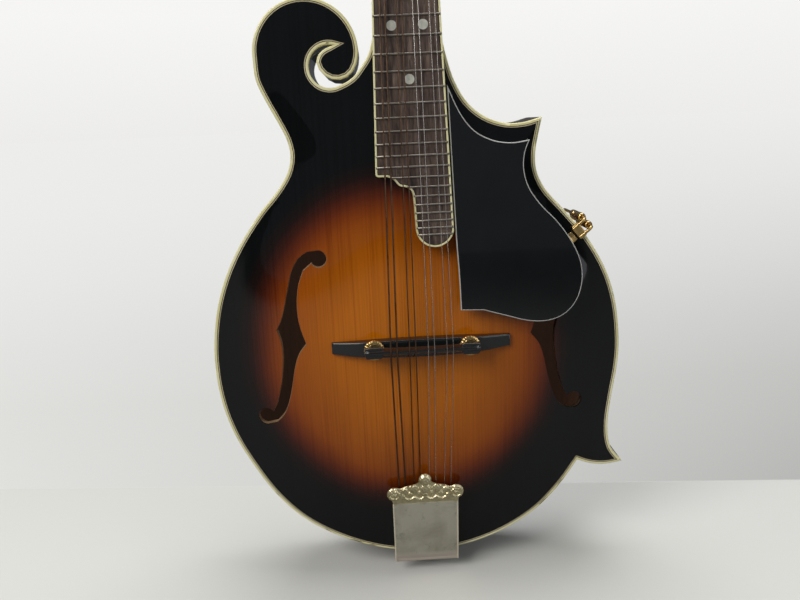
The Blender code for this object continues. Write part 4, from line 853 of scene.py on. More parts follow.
FINISHES = {
    "top": varnished_top(),
    "back": varnished_maple("varnished_back", (0.2, 0.062, 0.015), (0.075, 0.02, 0.008), True),
    "maple": varnished_maple("varnished_maple", (0.062, 0.022, 0.010), (0.024, 0.01, 0.007), False),
    "ivory": plain_finish(
        "aged_ivory", (0.78, 0.71, 0.34), (0.92, 0.87, 0.54), 30, 0.25, 0.4,
        Coat_Weight=0.6, Coat_Roughness=0.08,
    ),
    "cream": plain_finish("cream_line", (0.5, 0.42, 0.25), (0.62, 0.54, 0.35), 30, 0.3, 0.42),
    "black_line": plain_finish("black_line", (0.006, 0.006, 0.006), (0.012, 0.011, 0.01), 40, 0.3, 0.4),
    "rosewood": rosewood_finish(),
    "gold": worn_metal("gold_metal", (0.86, 0.6, 0.25), (0.55, 0.36, 0.13), 60, 0.16, 0.34),
    "champagne": cover_metal(),
    "crown": worn_metal("crown_metal", (0.92, 0.82, 0.52), (0.6, 0.52, 0.3), 90, 0.28, 0.46, spots=0.5),
    # A pale finish for the cover's side edges: a painted highlight where they catch the light
    "gleam": plain_finish("cover_edge_painted_highlight", (0.62, 0.55, 0.4), (0.8, 0.73, 0.56), 60, 0.3, 0.42),
    "nickel": worn_metal("tuner_metal", (0.66, 0.6, 0.48), (0.4, 0.34, 0.24), 50, 0.2, 0.36),
    "steel": worn_metal("plain_steel", (0.6, 0.56, 0.52), (0.4, 0.36, 0.32), 80, 0.2, 0.34),
    "bronze": worn_metal("wound_bronze", (0.14, 0.085, 0.055), (0.06, 0.038, 0.027), 120, 0.36, 0.5),
    "fret": worn_metal("fret_metal", (0.42, 0.38, 0.33), (0.28, 0.245, 0.21), 60, 0.3, 0.44),
    "bridge": gloss_black("bridge_ebony", (0.0075, 0.0082, 0.0085), 0.14),
    "pearl": plain_finish(
        "pearl_dot", (0.4, 0.42, 0.38), (0.74, 0.72, 0.62), 260, 0.18, 0.3, Coat_Weight=0.5
    ),
    "button": plain_finish(
        "pearl_button", (0.62, 0.58, 0.48), (0.8, 0.78, 0.7), 120, 0.16, 0.26, Coat_Weight=0.7
    ),
    "bone": plain_finish("bone_nut", (0.66, 0.6, 0.47), (0.8, 0.75, 0.63), 60, 0.35, 0.5, (1, 1, 0.3)),
    "guard": gloss_black("pickguard_plastic"),
    "cover": gloss_black("rod_cover_plastic"),
    "pin": gloss_black("end_pin_plastic", roughness=0.16),
    "veneer": gloss_black("headstock_veneer", (0.005, 0.005, 0.006), 0.12),
    "edge": plain_finish("white_line", (0.4, 0.4, 0.38), (0.55, 0.55, 0.52), 50, 0.25, 0.4),
    # Raw wood with a painted glow: its faint emission stands in for light inside the body's hollow
    "glowing_raw": plain_finish(
        "raw_wood_painted_glow", (0.1, 0.06, 0.032), (0.19, 0.115, 0.06), 40, 0.6, 0.8, (6, 6, 0.4), 0.15,
        Emission_Color=(0.015, 0.0078, 0.0052, 1), Emission_Strength=1.0,
    ),
    "lip": plain_finish(
        "cut_spruce", (0.2, 0.12, 0.06), (0.34, 0.22, 0.12), 40, 0.55, 0.75, (6, 6, 0.4), 0.15
    ),
    "cork": plain_finish("cork_pad", (0.16, 0.09, 0.045), (0.34, 0.21, 0.11), 300, 0.75, 0.9, (1, 1, 1), 0.4),
}


# Pieces

def piece(name, mesh_data, finish, body="body", replaces=(), sharp=38, bevel=0.0):
    """A visible piece from (points in millimetres, faces) that rides on a body of the frame."""
    points, faces = mesh_data
    mesh = bpy.data.meshes.new(name)
    mesh.from_pydata([tuple(np.array(p) * MM) for p in points], [], [tuple(f) for f in faces])
    builder = bmesh.new()
    builder.from_mesh(mesh)
    bmesh.ops.remove_doubles(builder, verts=builder.verts, dist=1e-7)
    bmesh.ops.dissolve_degenerate(builder, edges=builder.edges, dist=1e-7)
    bmesh.ops.recalc_face_normals(builder, faces=builder.faces)
    if bevel:
        limit = math.radians(40)
        corners = [e for e in builder.edges if len(e.link_faces) == 2 and e.calc_face_angle() > limit]
        settings = dict(offset=bevel * MM, segments=2, profile=0.5, affect="EDGES", clamp_overlap=True)
        bmesh.ops.bevel(builder, geom=corners, **settings)
    builder.to_mesh(mesh)
    builder.free()
    mesh.shade_smooth()
    mesh.set_sharp_from_angle(angle=math.radians(sharp))
    made = bpy.data.objects.new(name, mesh)
    mesh.materials.append(FINISHES[finish])
    bpy.context.scene.collection.objects.link(made)
    if body:
        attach(made, body)
    if replaces:
        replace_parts(made, *replaces)
    return made


# The body

def f_hole(side):
    """One f-hole's edge: side is -1 for the bass side and 1 for the treble side."""
    outer = smooth(F_HOLE_OUTER, 4)[:-1] + smooth(F_HOLE_OUTER_LOW, 4)
    inner = smooth(F_HOLE_INNER, 4)[:-1] + smooth(F_HOLE_INNER_HIGH, 4)
    points = inner + arc(**F_HOLE_UPPER) + outer + arc(**F_HOLE_LOWER)
    return [(side * x, y) for x, y in points][:: side]


def top_face(across, along):
    return arch(across, along, TOP_RISE)


def back_face(across, along):
    return -BODY_DEPTH - arch(across, along, BACK_RISE)


def make_body():
    binding_edge = inset(OUTLINE, BINDING_WIDTH)
    black_edge = inset(OUTLINE, BINDING_WIDTH + BLACK_LINE)
    plate_edge = inset(OUTLINE, BINDING_WIDTH + BLACK_LINE + CREAM_LINE)
    holes = [f_hole(side) for _, side in SIDES]

    def top_inside(across, along):
        return plate_inside(across, along, TOP_RISE)

    def back_inside(across, along):
        return -BODY_DEPTH - plate_inside(across, along, BACK_RISE)

    board = slab(plate_edge, top_face, top_inside, holes=holes, spacing=PLATE_GRID)
    piece("soundboard_plate", board, "top", replaces=["soundboard"])
    for (side_name, side), hole in zip(SIDES, holes):
        make_f_hole_lip(side_name, hole, offset(hole, side * LIP_WIDTH))
    ring = slab(binding_edge, 0.03, -EDGE_THICKNESS, holes=[black_edge])
    piece("top_black_line", ring, "black_line")
    ring = slab(black_edge, 0.05, -EDGE_THICKNESS, holes=[plate_edge])
    piece("top_cream_line", ring, "cream")
    strip = binding(0.04, -EDGE_THICKNESS, binding_edge)
    piece("top_binding_strip", strip, "ivory", replaces=["top_binding"])
    strip = binding(-BODY_DEPTH - 0.04, EDGE_THICKNESS - BODY_DEPTH, binding_edge)
    piece("back_binding_strip", strip, "ivory", replaces=["back_binding"])
    inner = inset(OUTLINE, RIB_THICKNESS)
    ribs = slab(OUTLINE, -EDGE_THICKNESS, EDGE_THICKNESS - BODY_DEPTH, holes=[inner])
    piece("rib_band", ribs, "maple", replaces=["rim"])
    plate = slab(binding_edge, back_face, back_inside, spacing=BACK_GRID)
    piece("back_board", plate, "back", replaces=["back_plate"])
    # A thin sheet of raw wood over the back's inner face, with a painted glow that lights the hollow seen
    # through the f-holes
    raw_edge = inset(OUTLINE, RIB_THICKNESS + 0.5)
    faces = [lambda x, y, gap=gap: back_inside(x, y) + gap for gap in (0.2, 0.05)]
    veneer = slab(raw_edge, *faces, spacing=BACK_GRID)
    piece("back_raw_face_glowing", veneer, "glowing_raw")


def binding(face, inner_level, inner_edge):
    """A strip round the body's edge whose outer corner is rounded."""
    ring = slab(offset(OUTLINE, 0.6), face, inner_level, holes=[inner_edge])
    turn = 1 if face > inner_level else -1
    corner = [(0.6, face), (0.35, face - 0.06 * turn), (0.15, face - 0.22 * turn), (0.0, face - 0.6 * turn)]
    corner += [(0.0, inner_level), (0.6, inner_level)]
    return joined([ring, swept(OUTLINE, corner)])


def make_f_hole_lip(side_name, hole, other):
    """The pale cut edge of the wood between an f-hole's edge and its other line."""
    outer, inner = sorted((hole, other), key=lambda loop: max(y for _, y in loop), reverse=True)
    lip = slab(outer, lambda x, y: top_face(x, y) - 0.9, lambda x, y: top_face(x, y) - 4.0, holes=[inner])
    piece(f"f_hole_lip_{side_name}", lip, "lip")


# The neck

def neck_section(along, top, depth, width_scale, squareness, lean):
    """A D-shaped section of the neck. lean moves each point along with its depth below the top."""
    half = width_scale * fretboard_half(along)
    section = []
    for angle in np.linspace(0, math.pi, 49):
        across = half * math.copysign(abs(math.cos(angle)) ** squareness, math.cos(angle))
        down = depth * math.sin(angle) ** 0.85
        section.append(neck_point(across, along + lean * down, top - down))
    return section


def make_neck():
    lean = math.tan(NECK_ANGLE)
    joint = (NECK_JOINT - SCALE_END_ALONG - NECK_TOP * math.sin(NECK_ANGLE)) / math.cos(NECK_ANGLE)
    stations = [
        (joint, NECK_TOP, 46.5, 1, 0.42, lean),
        (joint + 5, NECK_TOP, 44, 0.99, 0.45, lean),
        (joint + 9, NECK_TOP, 34, 0.99, 0.55, lean),
        (joint + 14, NECK_TOP, 24, 1, 0.7, lean / 2),
        (joint + 22, NECK_TOP, 18.5, 1, 0.85, 0),
        (joint + 36, NECK_TOP, 16, 1, 1, 0),
        (joint + 80, NECK_TOP, 15.2, 1, 1, 0),
        (joint + 130, NECK_TOP, 14.4, 1, 1, 0),
        (SCALE_LENGTH - 2, NECK_TOP, 14, 1, 1, 0),
    ]
    tail_end = [
        (HEAD_START + 1, NECK_TOP - 0.2, 14.4, 1, 1, 0),
        (HEAD_START + 9, NECK_TOP - 3.6, 14.4, 1.05, 0.95, 0),
        (HEAD_START + 17, NECK_TOP - 6, 9.5, 1, 0.9, 0),
    ]
    shaft = loft([neck_section(*station) for station in smooth(stations + tail_end, 2.5)])
    sections = []
    for up in np.linspace(TONGUE_END, NECK_JOINT + 3, 30):
        along = (up - SCALE_END_ALONG) / math.cos(NECK_ANGLE)
        top = SCALE_END_OUT - along * math.sin(NECK_ANGLE) + NECK_TOP
        low = min(float(np.max(top_face(np.array([0, TONGUE_HALF]), np.array([up, up])))) + 0.5, top - 1.2)
        corners = ((-TONGUE_HALF, top), (-TONGUE_HALF, low), (TONGUE_HALF, low), (TONGUE_HALF, top))
        sections.append([body_point(x, up, out) for x, out in corners])
    whole = joined([shaft, loft(sections)])
    piece("neck_shaft", whole, "maple", replaces=["neck"], sharp=50)


def head_outline():
    outline = smooth(HEAD_TREBLE, 3)[:-1] + smooth(HEAD_TOP, 3) + arc(**HEAD_CURL) + smooth(HEAD_BASS, 3)
    return outline[:-1] + [HEAD_BASS[-1]]


def make_head():
    outline = head_outline()
    places = [place for _, side in SIDES for place in post_places(side)]
    holes = [circle(place, POST_RADIUS + 0.3, 28) for place in places]
    under = HEAD_FRONT - HEAD_EDGE_DEPTH
    core = slab(outline, under, HEAD_BACK + 0.06, head_point, holes)
    piece("headstock_core", core, "maple")
    inner = inset(outline, HEAD_BINDING_WIDTH)
    face = slab(inner, HEAD_FRONT, under, head_point, holes)
    piece("headstock_face", face, "veneer")
    rim = slab(offset(outline, 0.4), HEAD_FRONT, under, head_point, [inner])
    corner = [(0.4, HEAD_FRONT), (0.12, HEAD_FRONT - 0.12), (0, HEAD_FRONT - 0.4), (0, under), (0.4, under)]
    edge = joined([rim, swept(outline, corner, head_point)])
    piece("headstock_binding", edge, "ivory")
    ring = [(4.6, 0), (4.6, 0.35), (4.1, 0.8), (3.5, 0.9)]
    washers = [bored(ring, 3.15, frame_matrix(head_point, (*place, HEAD_FRONT)), 32) for place in places]
    piece("post_ferrules", joined(washers), "nickel")
    scroll = []
    for angle in np.linspace(0, 3.4 * math.pi, 60):
        scroll.append(polar(7.6 * (1 - angle / (4.4 * math.pi)), angle, HEAD_CURL["centre"]))
    line = tube([head_point(*point, HEAD_FRONT + 0.05) for point in scroll], 0.35, 8)
    piece("headstock_curl_line", line, "ivory")


def make_truss_rod():
    half = [(5, 1.5), (12, 8), (12.5, 14), (8.5, 24), (5, 31), (0, 34)]
    right = smooth(half, 1.5)
    plan = mirrored(right)
    under = HEAD_FRONT + 0.3
    cover = rounded_slab(plan, under + 1.6, under, 0.35, head_point)
    piece("rod_cover", cover, "cover", replaces=["truss_rod_cover"])
    ring = slab(offset(plan, 0.5), under + 1.64, under + 1.2, head_point, [offset(plan, 1.0)])
    piece("rod_cover_line", ring, "edge")
    screws = []
    for x, y in ((-8.6, 9), (8.6, 9), (0, 29.5)):
        screws.append(screw(frame_matrix(head_point, (x, y, under + 1.6)), 1.3, 0.6))
    piece("rod_cover_screws", joined(screws), "nickel")


def fretboard_edge():
    far = SCALE_LENGTH - 0.3
    corner = Vector((-fretboard_half(FRETBOARD_SHOULDER), FRETBOARD_SHOULDER))
    bass_corner = [tuple(corner + Vector(step)) for step in ((0, 1.7), (0.35, 0.75), (1.0, 0.2), (1.9, 0))]
    end = smooth(FLORIDA_STEPS, 1.5)
    half = fretboard_half(far)
    return [(-half, far), *bass_corner, *end, *arc(**FLORIDA_ROUND), (half, far)]


def fret_span(edge, along):
    """Where a line across the board at that place meets its two edges, outermost."""
    crossings = []
    for (x0, y0), (x1, y1) in zip(edge, edge[1:] + edge[:1]):
        if (y0 > along) != (y1 > along):
            crossings.append(x0 + (x1 - x0) * (along - y0) / (y1 - y0))
    return min(crossings), max(crossings)


def make_fretboard():
    edge = fretboard_edge()
    far = edge[0][1]
    lines = {}
    for width in (FRETBOARD_BINDING, FRETBOARD_BINDING + 0.3):
        line = offset(edge, width, closed=False)
        line[0], line[-1] = (line[0][0], far), (line[-1][0], far)
        lines[width] = line
    top, bottom = -FRET_HEIGHT, -FRET_HEIGHT - FRETBOARD_THICKNESS
    strip_edge, board_edge = lines.values()
    board = slab(board_edge, top, bottom, neck_point, spacing=9)
    piece("fretboard_wood", board, "rosewood", replaces=["fretboard"])
    strip = slab(edge + strip_edge[::-1], top + 0.02, bottom, neck_point)
    replaced = ["fretboard_binding"]
    piece("fretboard_edging", strip, "ivory", replaces=replaced, bevel=0.25)
    seam = slab(strip_edge + board_edge[::-1], top - 0.02, bottom, neck_point)
    piece("fretboard_seam", seam, "black_line")
    frets = []
    for number in range(1, FRET_COUNT + 1):
        along = SCALE_LENGTH / 2 ** (number / 12)
        low, high = fret_span(edge, along)
        frets.append(fret(low + 0.35, high - 0.35, along))
    piece("frets", joined(frets), "fret", sharp=50)
    make_dots(top)


def fret(low, high, along):
    """A fret wire with a rounded crown and its two ends bevelled."""
    half, foot, turns = FRET_HALF_WIDTH, -FRET_HEIGHT - 0.2, np.linspace(0, math.pi, 11)
    crown = [(half * math.cos(turn), -FRET_HEIGHT + 0.95 * math.sin(turn)) for turn in turns]
    crown = [(half, foot), *crown, (-half, foot)]
    sections = []
    for across, squeeze in ((low, 0.45), (low + 0.4, 1), (high - 0.4, 1), (high, 0.45)):
        section = [(along + y, -FRET_HEIGHT + (z + FRET_HEIGHT) * squeeze) for y, z in crown]
        sections.append([neck_point(across, *point) for point in section])
    return loft(sections)


def make_dots(level):
    places = []
    for number in (*DOT_FRETS, DOUBLE_DOT_FRET):
        middle = SCALE_LENGTH * (2 ** (-number / 12) + 2 ** (-(number - 1) / 12)) / 2
        shifts = (-DOUBLE_DOT_ACROSS, DOUBLE_DOT_ACROSS) if number == DOUBLE_DOT_FRET else (0,)
        places += [(shift, middle) for shift in shifts]
    discs, cups, side_dots = [], [], []
    for place in places:
        matrix = frame_matrix(neck_point, (*place, level))
        discs.append(lathe([(0, -0.3), (DOT_RADIUS, -0.3), (DOT_RADIUS, 0.015), (0, 0.03)], matrix, 36))
        ring = [(DOT_RADIUS + 0.14, -0.3), (DOT_RADIUS + 0.14, 0.008)]
        cups.append(bored(ring, DOT_RADIUS, matrix, 36))
        side = (-fretboard_half(place[1]) - 0.01, place[1], level - 2.4)
        outward = frame_matrix(neck_point, side) @ Matrix.Rotation(math.radians(-90), 4, "Y")
        side_dots.append(lathe([(0, -0.4), (0.9, -0.4), (0.9, 0.03), (0, 0.04)], outward, 20))
    piece("fretboard_dots", joined(discs), "pearl")
    piece("dot_seams", joined(cups + side_dots), "black_line")


def slotted_bar(low, high, grooves, profile, flat_frame):
    """A bar across the strings, its section from profile(depth). A groove is (across, half width, depth)."""
    stations = {low: 0.0, high: 0.0}
    for across, half, depth in grooves:
        stations[across - half * 1.5] = 0.0
        stations[across + half * 1.5] = 0.0
        for t in (-1, -0.7, 0, 0.7, 1):
            stations[across + t * half] = depth * math.sqrt(max(1 - t * t, 0.04))
    sections = []
    for across in sorted(stations):
        sections.append([flat_frame(across, along, out) for along, out in profile(stations[across])])
    return loft(sections)


def make_nut():
    half = NUT_HALF_WIDTH - 0.2
    low, high = SCALE_LENGTH + 0.02, HEAD_START - 0.3

    def profile(depth):
        top = NUT_TOP - depth * 0.35
        shape = [(low, NECK_TOP + 0.3), (high, NECK_TOP + 0.3), (high, top - 1.5), (high - 0.7, top - 0.5)]
        return shape + [(high - 1.8, top - 0.05), (low + 0.3, top), (low, top - 0.25)]

    spread = string_spread(COURSE_AT_NUT, PAIR_AT_NUT)
    grooves = [(x, radius + 0.12, 1.0) for x, radius in zip(spread, STRING_RADII)]
    bar = slotted_bar(-half, half, grooves, profile, neck_point)
    piece("nut_bone", bar, "bone", replaces=["nut"])


# Tuners

def gear_plan():
    """The outline of a gear with one tooth pointing at the worm, which lies at -along."""
    pitch = 2 * math.pi / GEAR_TEETH
    tip, root = GEAR_PITCH_RADIUS + 0.4, GEAR_PITCH_RADIUS - 0.9
    corners = ((-12.8, root), (-8.2, root), (-5.2, GEAR_PITCH_RADIUS - 0.2), (-3.1, tip - 0.1), (-2.2, tip))
    corners += tuple((-angle, radius) for angle, radius in corners[::-1])
    plan = []
    for tooth in range(GEAR_TEETH):
        for angle, radius in corners:
            plan.append(polar(radius, -math.pi / 2 + tooth * pitch + math.radians(angle)))
    return plan


def worm_profile_radius(angle_fraction):
    """The worm's radius across one pitch of its thread."""
    crest, root, foot, land = WORM_PITCH_RADIUS + 0.5, WORM_PITCH_RADIUS - 0.8, 0.75, 0.35
    away = abs(((angle_fraction + 0.5) % 1.0 - 0.5) * WORM_LEAD)
    return crest - (crest - root) * float(np.clip((away - land) / (foot - land), 0, 1))


def worm_mesh(matrix):
    """A threaded rod of two turns, its radius following the thread."""
    rings, steps = [], 40
    for height in np.linspace(-WORM_LEAD * 1.25, WORM_LEAD * 1.25, 56):
        fade = float(np.clip((1.25 * WORM_LEAD - abs(height)) / 0.6, 0, 1))
        ring = []
        for step in range(steps):
            angle = 2 * math.pi * step / steps
            radius = worm_profile_radius(height / WORM_LEAD - angle / (2 * math.pi))
            radius = WORM_PITCH_RADIUS - 0.8 + (radius - WORM_PITCH_RADIUS + 0.8) * fade
            ring.append(tuple(matrix @ Vector((*polar(radius, angle), height))))
        rings.append(ring)
    return loft(rings)


def button_mesh(matrix):
    """An oval button with a short collar, a little hollow on its two flat faces."""
    rings = []
    profile = [(2.6, 0.0), (3.4, 1.2), (4.9, 3.2), (5.4, 6.4), (4.6, 9.8), (2.6, 11.8), (0.6, 12.35)]
    for radius, height in smooth(profile, 0.8):
        ring = []
        for angle in full_turn(40):
            hollow = 1 - 0.12 * abs(math.cos(angle)) ** 3 * math.sin(math.pi * min(height / 12, 1))
            place = Vector((radius * hollow * math.cos(angle), radius * math.sin(angle), height))
            ring.append(tuple(matrix @ place))
        rings.append(ring)
    return loft(rings)


def make_tuner(side_name, side, number, place):
    post_body, button_body = f"tuner_post_{side_name}_{number}", f"tuner_button_{side_name}_{number}"
    gear_matrix = frame_matrix(head_point, (*place, WORM_LEVEL))
    flat_gear = slab(gear_plan(), 1.0, -1.0, lambda x, y, z: tuple(gear_matrix @ Vector((x, y, z))),
                     [circle((0, 0), 1.6, 24)])
    foot = WORM_LEVEL - 1.8
    shape = [(0, 0), (2.0, 0), (2.0, 0.2), (2.0, 6.5), (POST_RADIUS, 7.0)]
    waist, top = STRING_AT_POST - foot, POST_TOP - foot
    shape += [(POST_RADIUS, waist - 3.4), (POST_WAIST, waist - 2.2), (2.5, waist), (POST_WAIST, waist + 2.2)]
    shape += [(POST_RADIUS, waist + 3.2), (POST_RADIUS, top - 0.7), (POST_RADIUS - 0.25, top - 0.25)]
    shape += [(POST_RADIUS - 0.8, top), (0, top)]
    post = lathe(shape, frame_matrix(head_point, (*place, foot)), 40)
    down = gear_matrix @ Matrix.Translation((0, 0, -1.8)) @ Matrix.Rotation(math.pi, 4, "X")
    head = screw(down, 1.9, 0.75)
    mesh = joined([flat_gear, post, head])
    piece(f"post_{side_name}_{number}", mesh, "nickel", post_body, [post_body])
    where = (place[0], place[1] - WORM_OFFSET, WORM_LEVEL)
    along_x = frame_matrix(head_point, where) @ Matrix.Rotation(math.radians(90), 4, "Y")
    outward = along_x if side > 0 else along_x @ Matrix.Rotation(math.pi, 4, "X")
    reach = BUTTON_START - POST_ACROSS
    shaft_shape = [(0, -7.4), (1.25, -7.4), (1.4, -7.2), (1.4, reach - 3.2), (2.1, reach - 2.8)]
    shaft_shape += [(2.5, reach - 1.6), (2.1, reach - 0.4), (1.7, reach + 1.5), (0, reach + 1.5)]
    thread = worm_mesh(along_x @ Matrix.Rotation(-math.pi / 2, 4, "Z"))
    shaft = joined([thread, lathe(shaft_shape, outward, 28)])
    piece(f"shaft_{side_name}_{number}", shaft, "nickel", button_body, [button_body])
    oval = outward @ Matrix.Translation((0, 0, reach)) @ Matrix.Diagonal((0.62, 1, 1, 1))
    piece(f"button_{side_name}_{number}", button_mesh(oval), "button", button_body)
    tip = outward @ Matrix.Translation((0, 0, reach + BUTTON_LENGTH))
    cap = screw(tip @ Matrix.Diagonal((1, 1, 0.25, 1)), 1.2, 0.7)
    piece(f"button_screw_{side_name}_{number}", cap, "nickel", button_body)


def sideways_head_point(along, out, across):
    return head_point(across, along, out)


def make_tuner_plate(side_name, side):
    middle = side * POST_ACROSS
    low, high = FIRST_POST - WORM_OFFSET - 5.5, FIRST_POST + (POSTS_PER_SIDE - 1) * POST_SPACING + 8
    half = 7.3
    plan = rounded_rectangle((middle - half, low), (middle + half, high), 2.0)
    face = HEAD_BACK - TUNER_PLATE_GAP
    holes = [circle(place, 2.3, 24) for place in post_places(side)]
    parts = [slab(plan, face, face - 1.2, head_point, holes)]
    rib = [offset(plan, 1.0), offset(plan, 1.6)]
    parts.append(slab(rib[0], face - 1.1, face - 1.45, head_point, [rib[1]]))
    for (_, along), step in itertools.product(post_places(side), (-5.4, 5.4)):
        ear_along = along - WORM_OFFSET
        ear = [(ear_along - 3, face - 0.6), (ear_along - 3, WORM_LEVEL)]
        ear += arc((ear_along, WORM_LEVEL), 3, 180, 360, 15) + [(ear_along + 3, face - 0.6)]
        bore = circle((ear_along, WORM_LEVEL), 1.7, 20)
        parts.append(slab(ear[::-1], middle + step + 0.8, middle + step - 0.8, sideways_head_point, [bore]))
    replaced = [f"tuner_plate_{side_name}"]
    piece(f"plate_{side_name}", joined(parts), "nickel", replaces=replaced)
    screws = []
    gaps = [low + 2.6] + [FIRST_POST + (i + 0.5) * POST_SPACING - 2.2 for i in range(3)] + [high - 2.6]
    for along, shift in zip(gaps, (0, 4.6, 4.6, 4.6, 0)):
        place = frame_matrix(head_point, (middle + side * shift, along, face - 1.2))
        screws.append(screw(place @ Matrix.Rotation(math.pi, 4, "X"), 1.5, 0.8))
    piece(f"plate_screws_{side_name}", joined(screws), "nickel")


def make_tuners():
    for side_name, side in SIDES:
        make_tuner_plate(side_name, side)
        for number, place in enumerate(post_places(side), 1):
            make_tuner(side_name, side, number, place)


# Bridge

def base_top(across, along):
    """Flat under the saddle, and sloping down from there to the base's two ends."""
    reach = BRIDGE_HALF_LENGTH - SADDLE_HALF_LENGTH
    beyond = np.clip((np.abs(across - BRIDGE_ACROSS) - SADDLE_HALF_LENGTH) / reach, 0, 1)
    return BASE_TOP - (BASE_TOP - BASE_END_TOP) * beyond ** 1.15


def make_bridge():
    reach = np.linspace(-1, 1, 47)
    neck_side = [(BRIDGE_HALF_LENGTH * t, BRIDGE_ALONG + 4.6 - 1.2 * t * t) for t in reach[::-1]]
    tail_side = [(BRIDGE_HALF_LENGTH * t, BRIDGE_ALONG - 6.4 + 2.8 * t * t) for t in reach]
    plan = [(x + BRIDGE_ACROSS, y) for x, y in tail_side + neck_side]

    def under(across, along):
        return top_face(across, along) + 0.05

    base = rounded_slab(plan, base_top, under, 0.8, spacing=2.4)
    piece("bridge_foot_bar", base, "bridge", replaces=["bridge_base"])
    for side_name, side in SIDES:
        across = BRIDGE_ACROSS + side * WHEEL_ACROSS
        make_stud(side_name, across)
        make_thumbwheel(side_name, across)
    make_saddle()


def make_stud(side_name, across):
    """A threaded rod: its radius rises and falls with each turn of the thread."""
    rings = []
    for height in np.arange(BASE_TOP - 3, STUD_TOP, STUD_PITCH / 6):
        ring = []
        for angle in full_turn(24):
            wave = abs((height / STUD_PITCH - angle / (2 * math.pi)) % 1.0 - 0.5) * 2
            place = polar(STUD_RADIUS - STUD_THREAD_DEPTH * wave, angle, (across, BRIDGE_ALONG))
            ring.append(body_point(*place, height))
        rings.append(ring)
    name = f"bridge_stud_{side_name}"
    piece(f"stud_{side_name}", loft(rings), "gold", replaces=[name], sharp=60)


def make_thumbwheel(side_name, across):
    """A knurled wheel: rounded ribs round its edge, and a turned face with a shallow groove."""
    sections = []
    bore, top = STUD_RADIUS + 0.25, WHEEL_THICKNESS
    for angle in full_turn(8 * WHEEL_RIBS):
        crest = WHEEL_RADIUS - 0.38 * (0.5 - 0.5 * math.cos(WHEEL_RIBS * angle)) ** 0.6
        shape = [(bore, 0.15), (bore + 0.3, 0.0), (5.0, 0.0), (crest, 0.5), (crest, top - 0.5), (5.0, top)]
        shape += [(4.4, top), (4.25, top - 0.15), (4.0, top - 0.15), (3.85, top)]
        shape += [(bore + 0.3, top), (bore, top - 0.2)]
        middle = (across, BRIDGE_ALONG)
        sections.append([body_point(*polar(radius, angle, middle), WHEEL_BOTTOM + z) for radius, z in shape])
    name = f"thumbwheel_{side_name}"
    wheel = loft(sections, closed=True)
    piece(f"wheel_{side_name}", wheel, "gold", name, [name], sharp=30)


def make_saddle():
    """Two feet on the wheels, and between them a thinner arched bar with a grooved crest."""
    feet, foot_half, foot_thick, foot_tail = [], 5.35, SADDLE_THICKNESS / 2, SADDLE_THICKNESS / 2 + 0.7
    for side in (-1, 1):
        across = BRIDGE_ACROSS + side * WHEEL_ACROSS
        corner = 1.8
        plan = [(across - foot_half, BRIDGE_ALONG + foot_thick)]
        plan += arc((across - foot_half + corner, BRIDGE_ALONG - foot_tail + corner), corner, 180, 270, 8)
        plan += arc((across + foot_half - corner, BRIDGE_ALONG - foot_tail + corner), corner, 270, 360, 8)
        plan += [(across + foot_half, BRIDGE_ALONG + foot_thick)]
        feet.append(rounded_slab(plan, SADDLE_TOP - 1.6, SADDLE_BOTTOM, 0.5, both=True, steps=3))
    spread = [BRIDGE_ACROSS / 2 + x for x in string_spread(COURSE_AT_SADDLE, PAIR_AT_SADDLE)]
    half = SADDLE_HALF_LENGTH

    def bar(across, dip):
        rise = max(0.0, 1 - ((across - BRIDGE_ACROSS) / (WHEEL_ACROSS - foot_half)) ** 2)
        low = SADDLE_BOTTOM + 2.2 * rise ** 0.5
        thick = 2.1
        top = SADDLE_TOP - 0.02 - dip
        end = max(0.0, (abs(across - BRIDGE_ACROSS) - half + 3) / 3)
        top -= 1.2 * end * end
        profile = [(-thick, low + 0.4), (-thick + 0.4, low), (thick - 0.4, low), (thick, low + 0.4)]
        profile += [(thick, SADDLE_TOP - 2.6), (0.9, top - 0.15), (0.6, top), (-0.6, top), (-0.9, top - 0.15)]
        return profile + [(-thick, SADDLE_TOP - 2.6)]

    stations = {float(x): 0.0 for x in np.linspace(BRIDGE_ACROSS - half, BRIDGE_ACROSS + half, 60)}
    for across, radius in zip(spread, STRING_RADII):
        for x in [x for x in stations if abs(x - across) < 1.4]:
            del stations[x]
        for t in (-1.2, -1, -0.7, 0, 0.7, 1, 1.2):
            dip = 0.28 * math.sqrt(1 - min(1, t * t)) if abs(t) < 1 else 0.0
            stations[across + t * (radius + 0.1)] = dip
    sections = []
    for across in sorted(stations):
        profile = bar(across, stations[across])
        sections.append([body_point(across, BRIDGE_ALONG + along, out) for along, out in profile])
    mesh = joined([*feet, loft(sections)])
    piece("saddle_bar", mesh, "bridge", "saddle", ["saddle"], sharp=32)


# Tailpiece and end pin

def bump_dome(across, along, centre, radius, height):
    """A rounded boss of the given radius."""
    away = np.hypot(across - centre[0], along - centre[1]) / radius
    return height * np.sqrt(np.clip(1 - away**2, 0, 1))


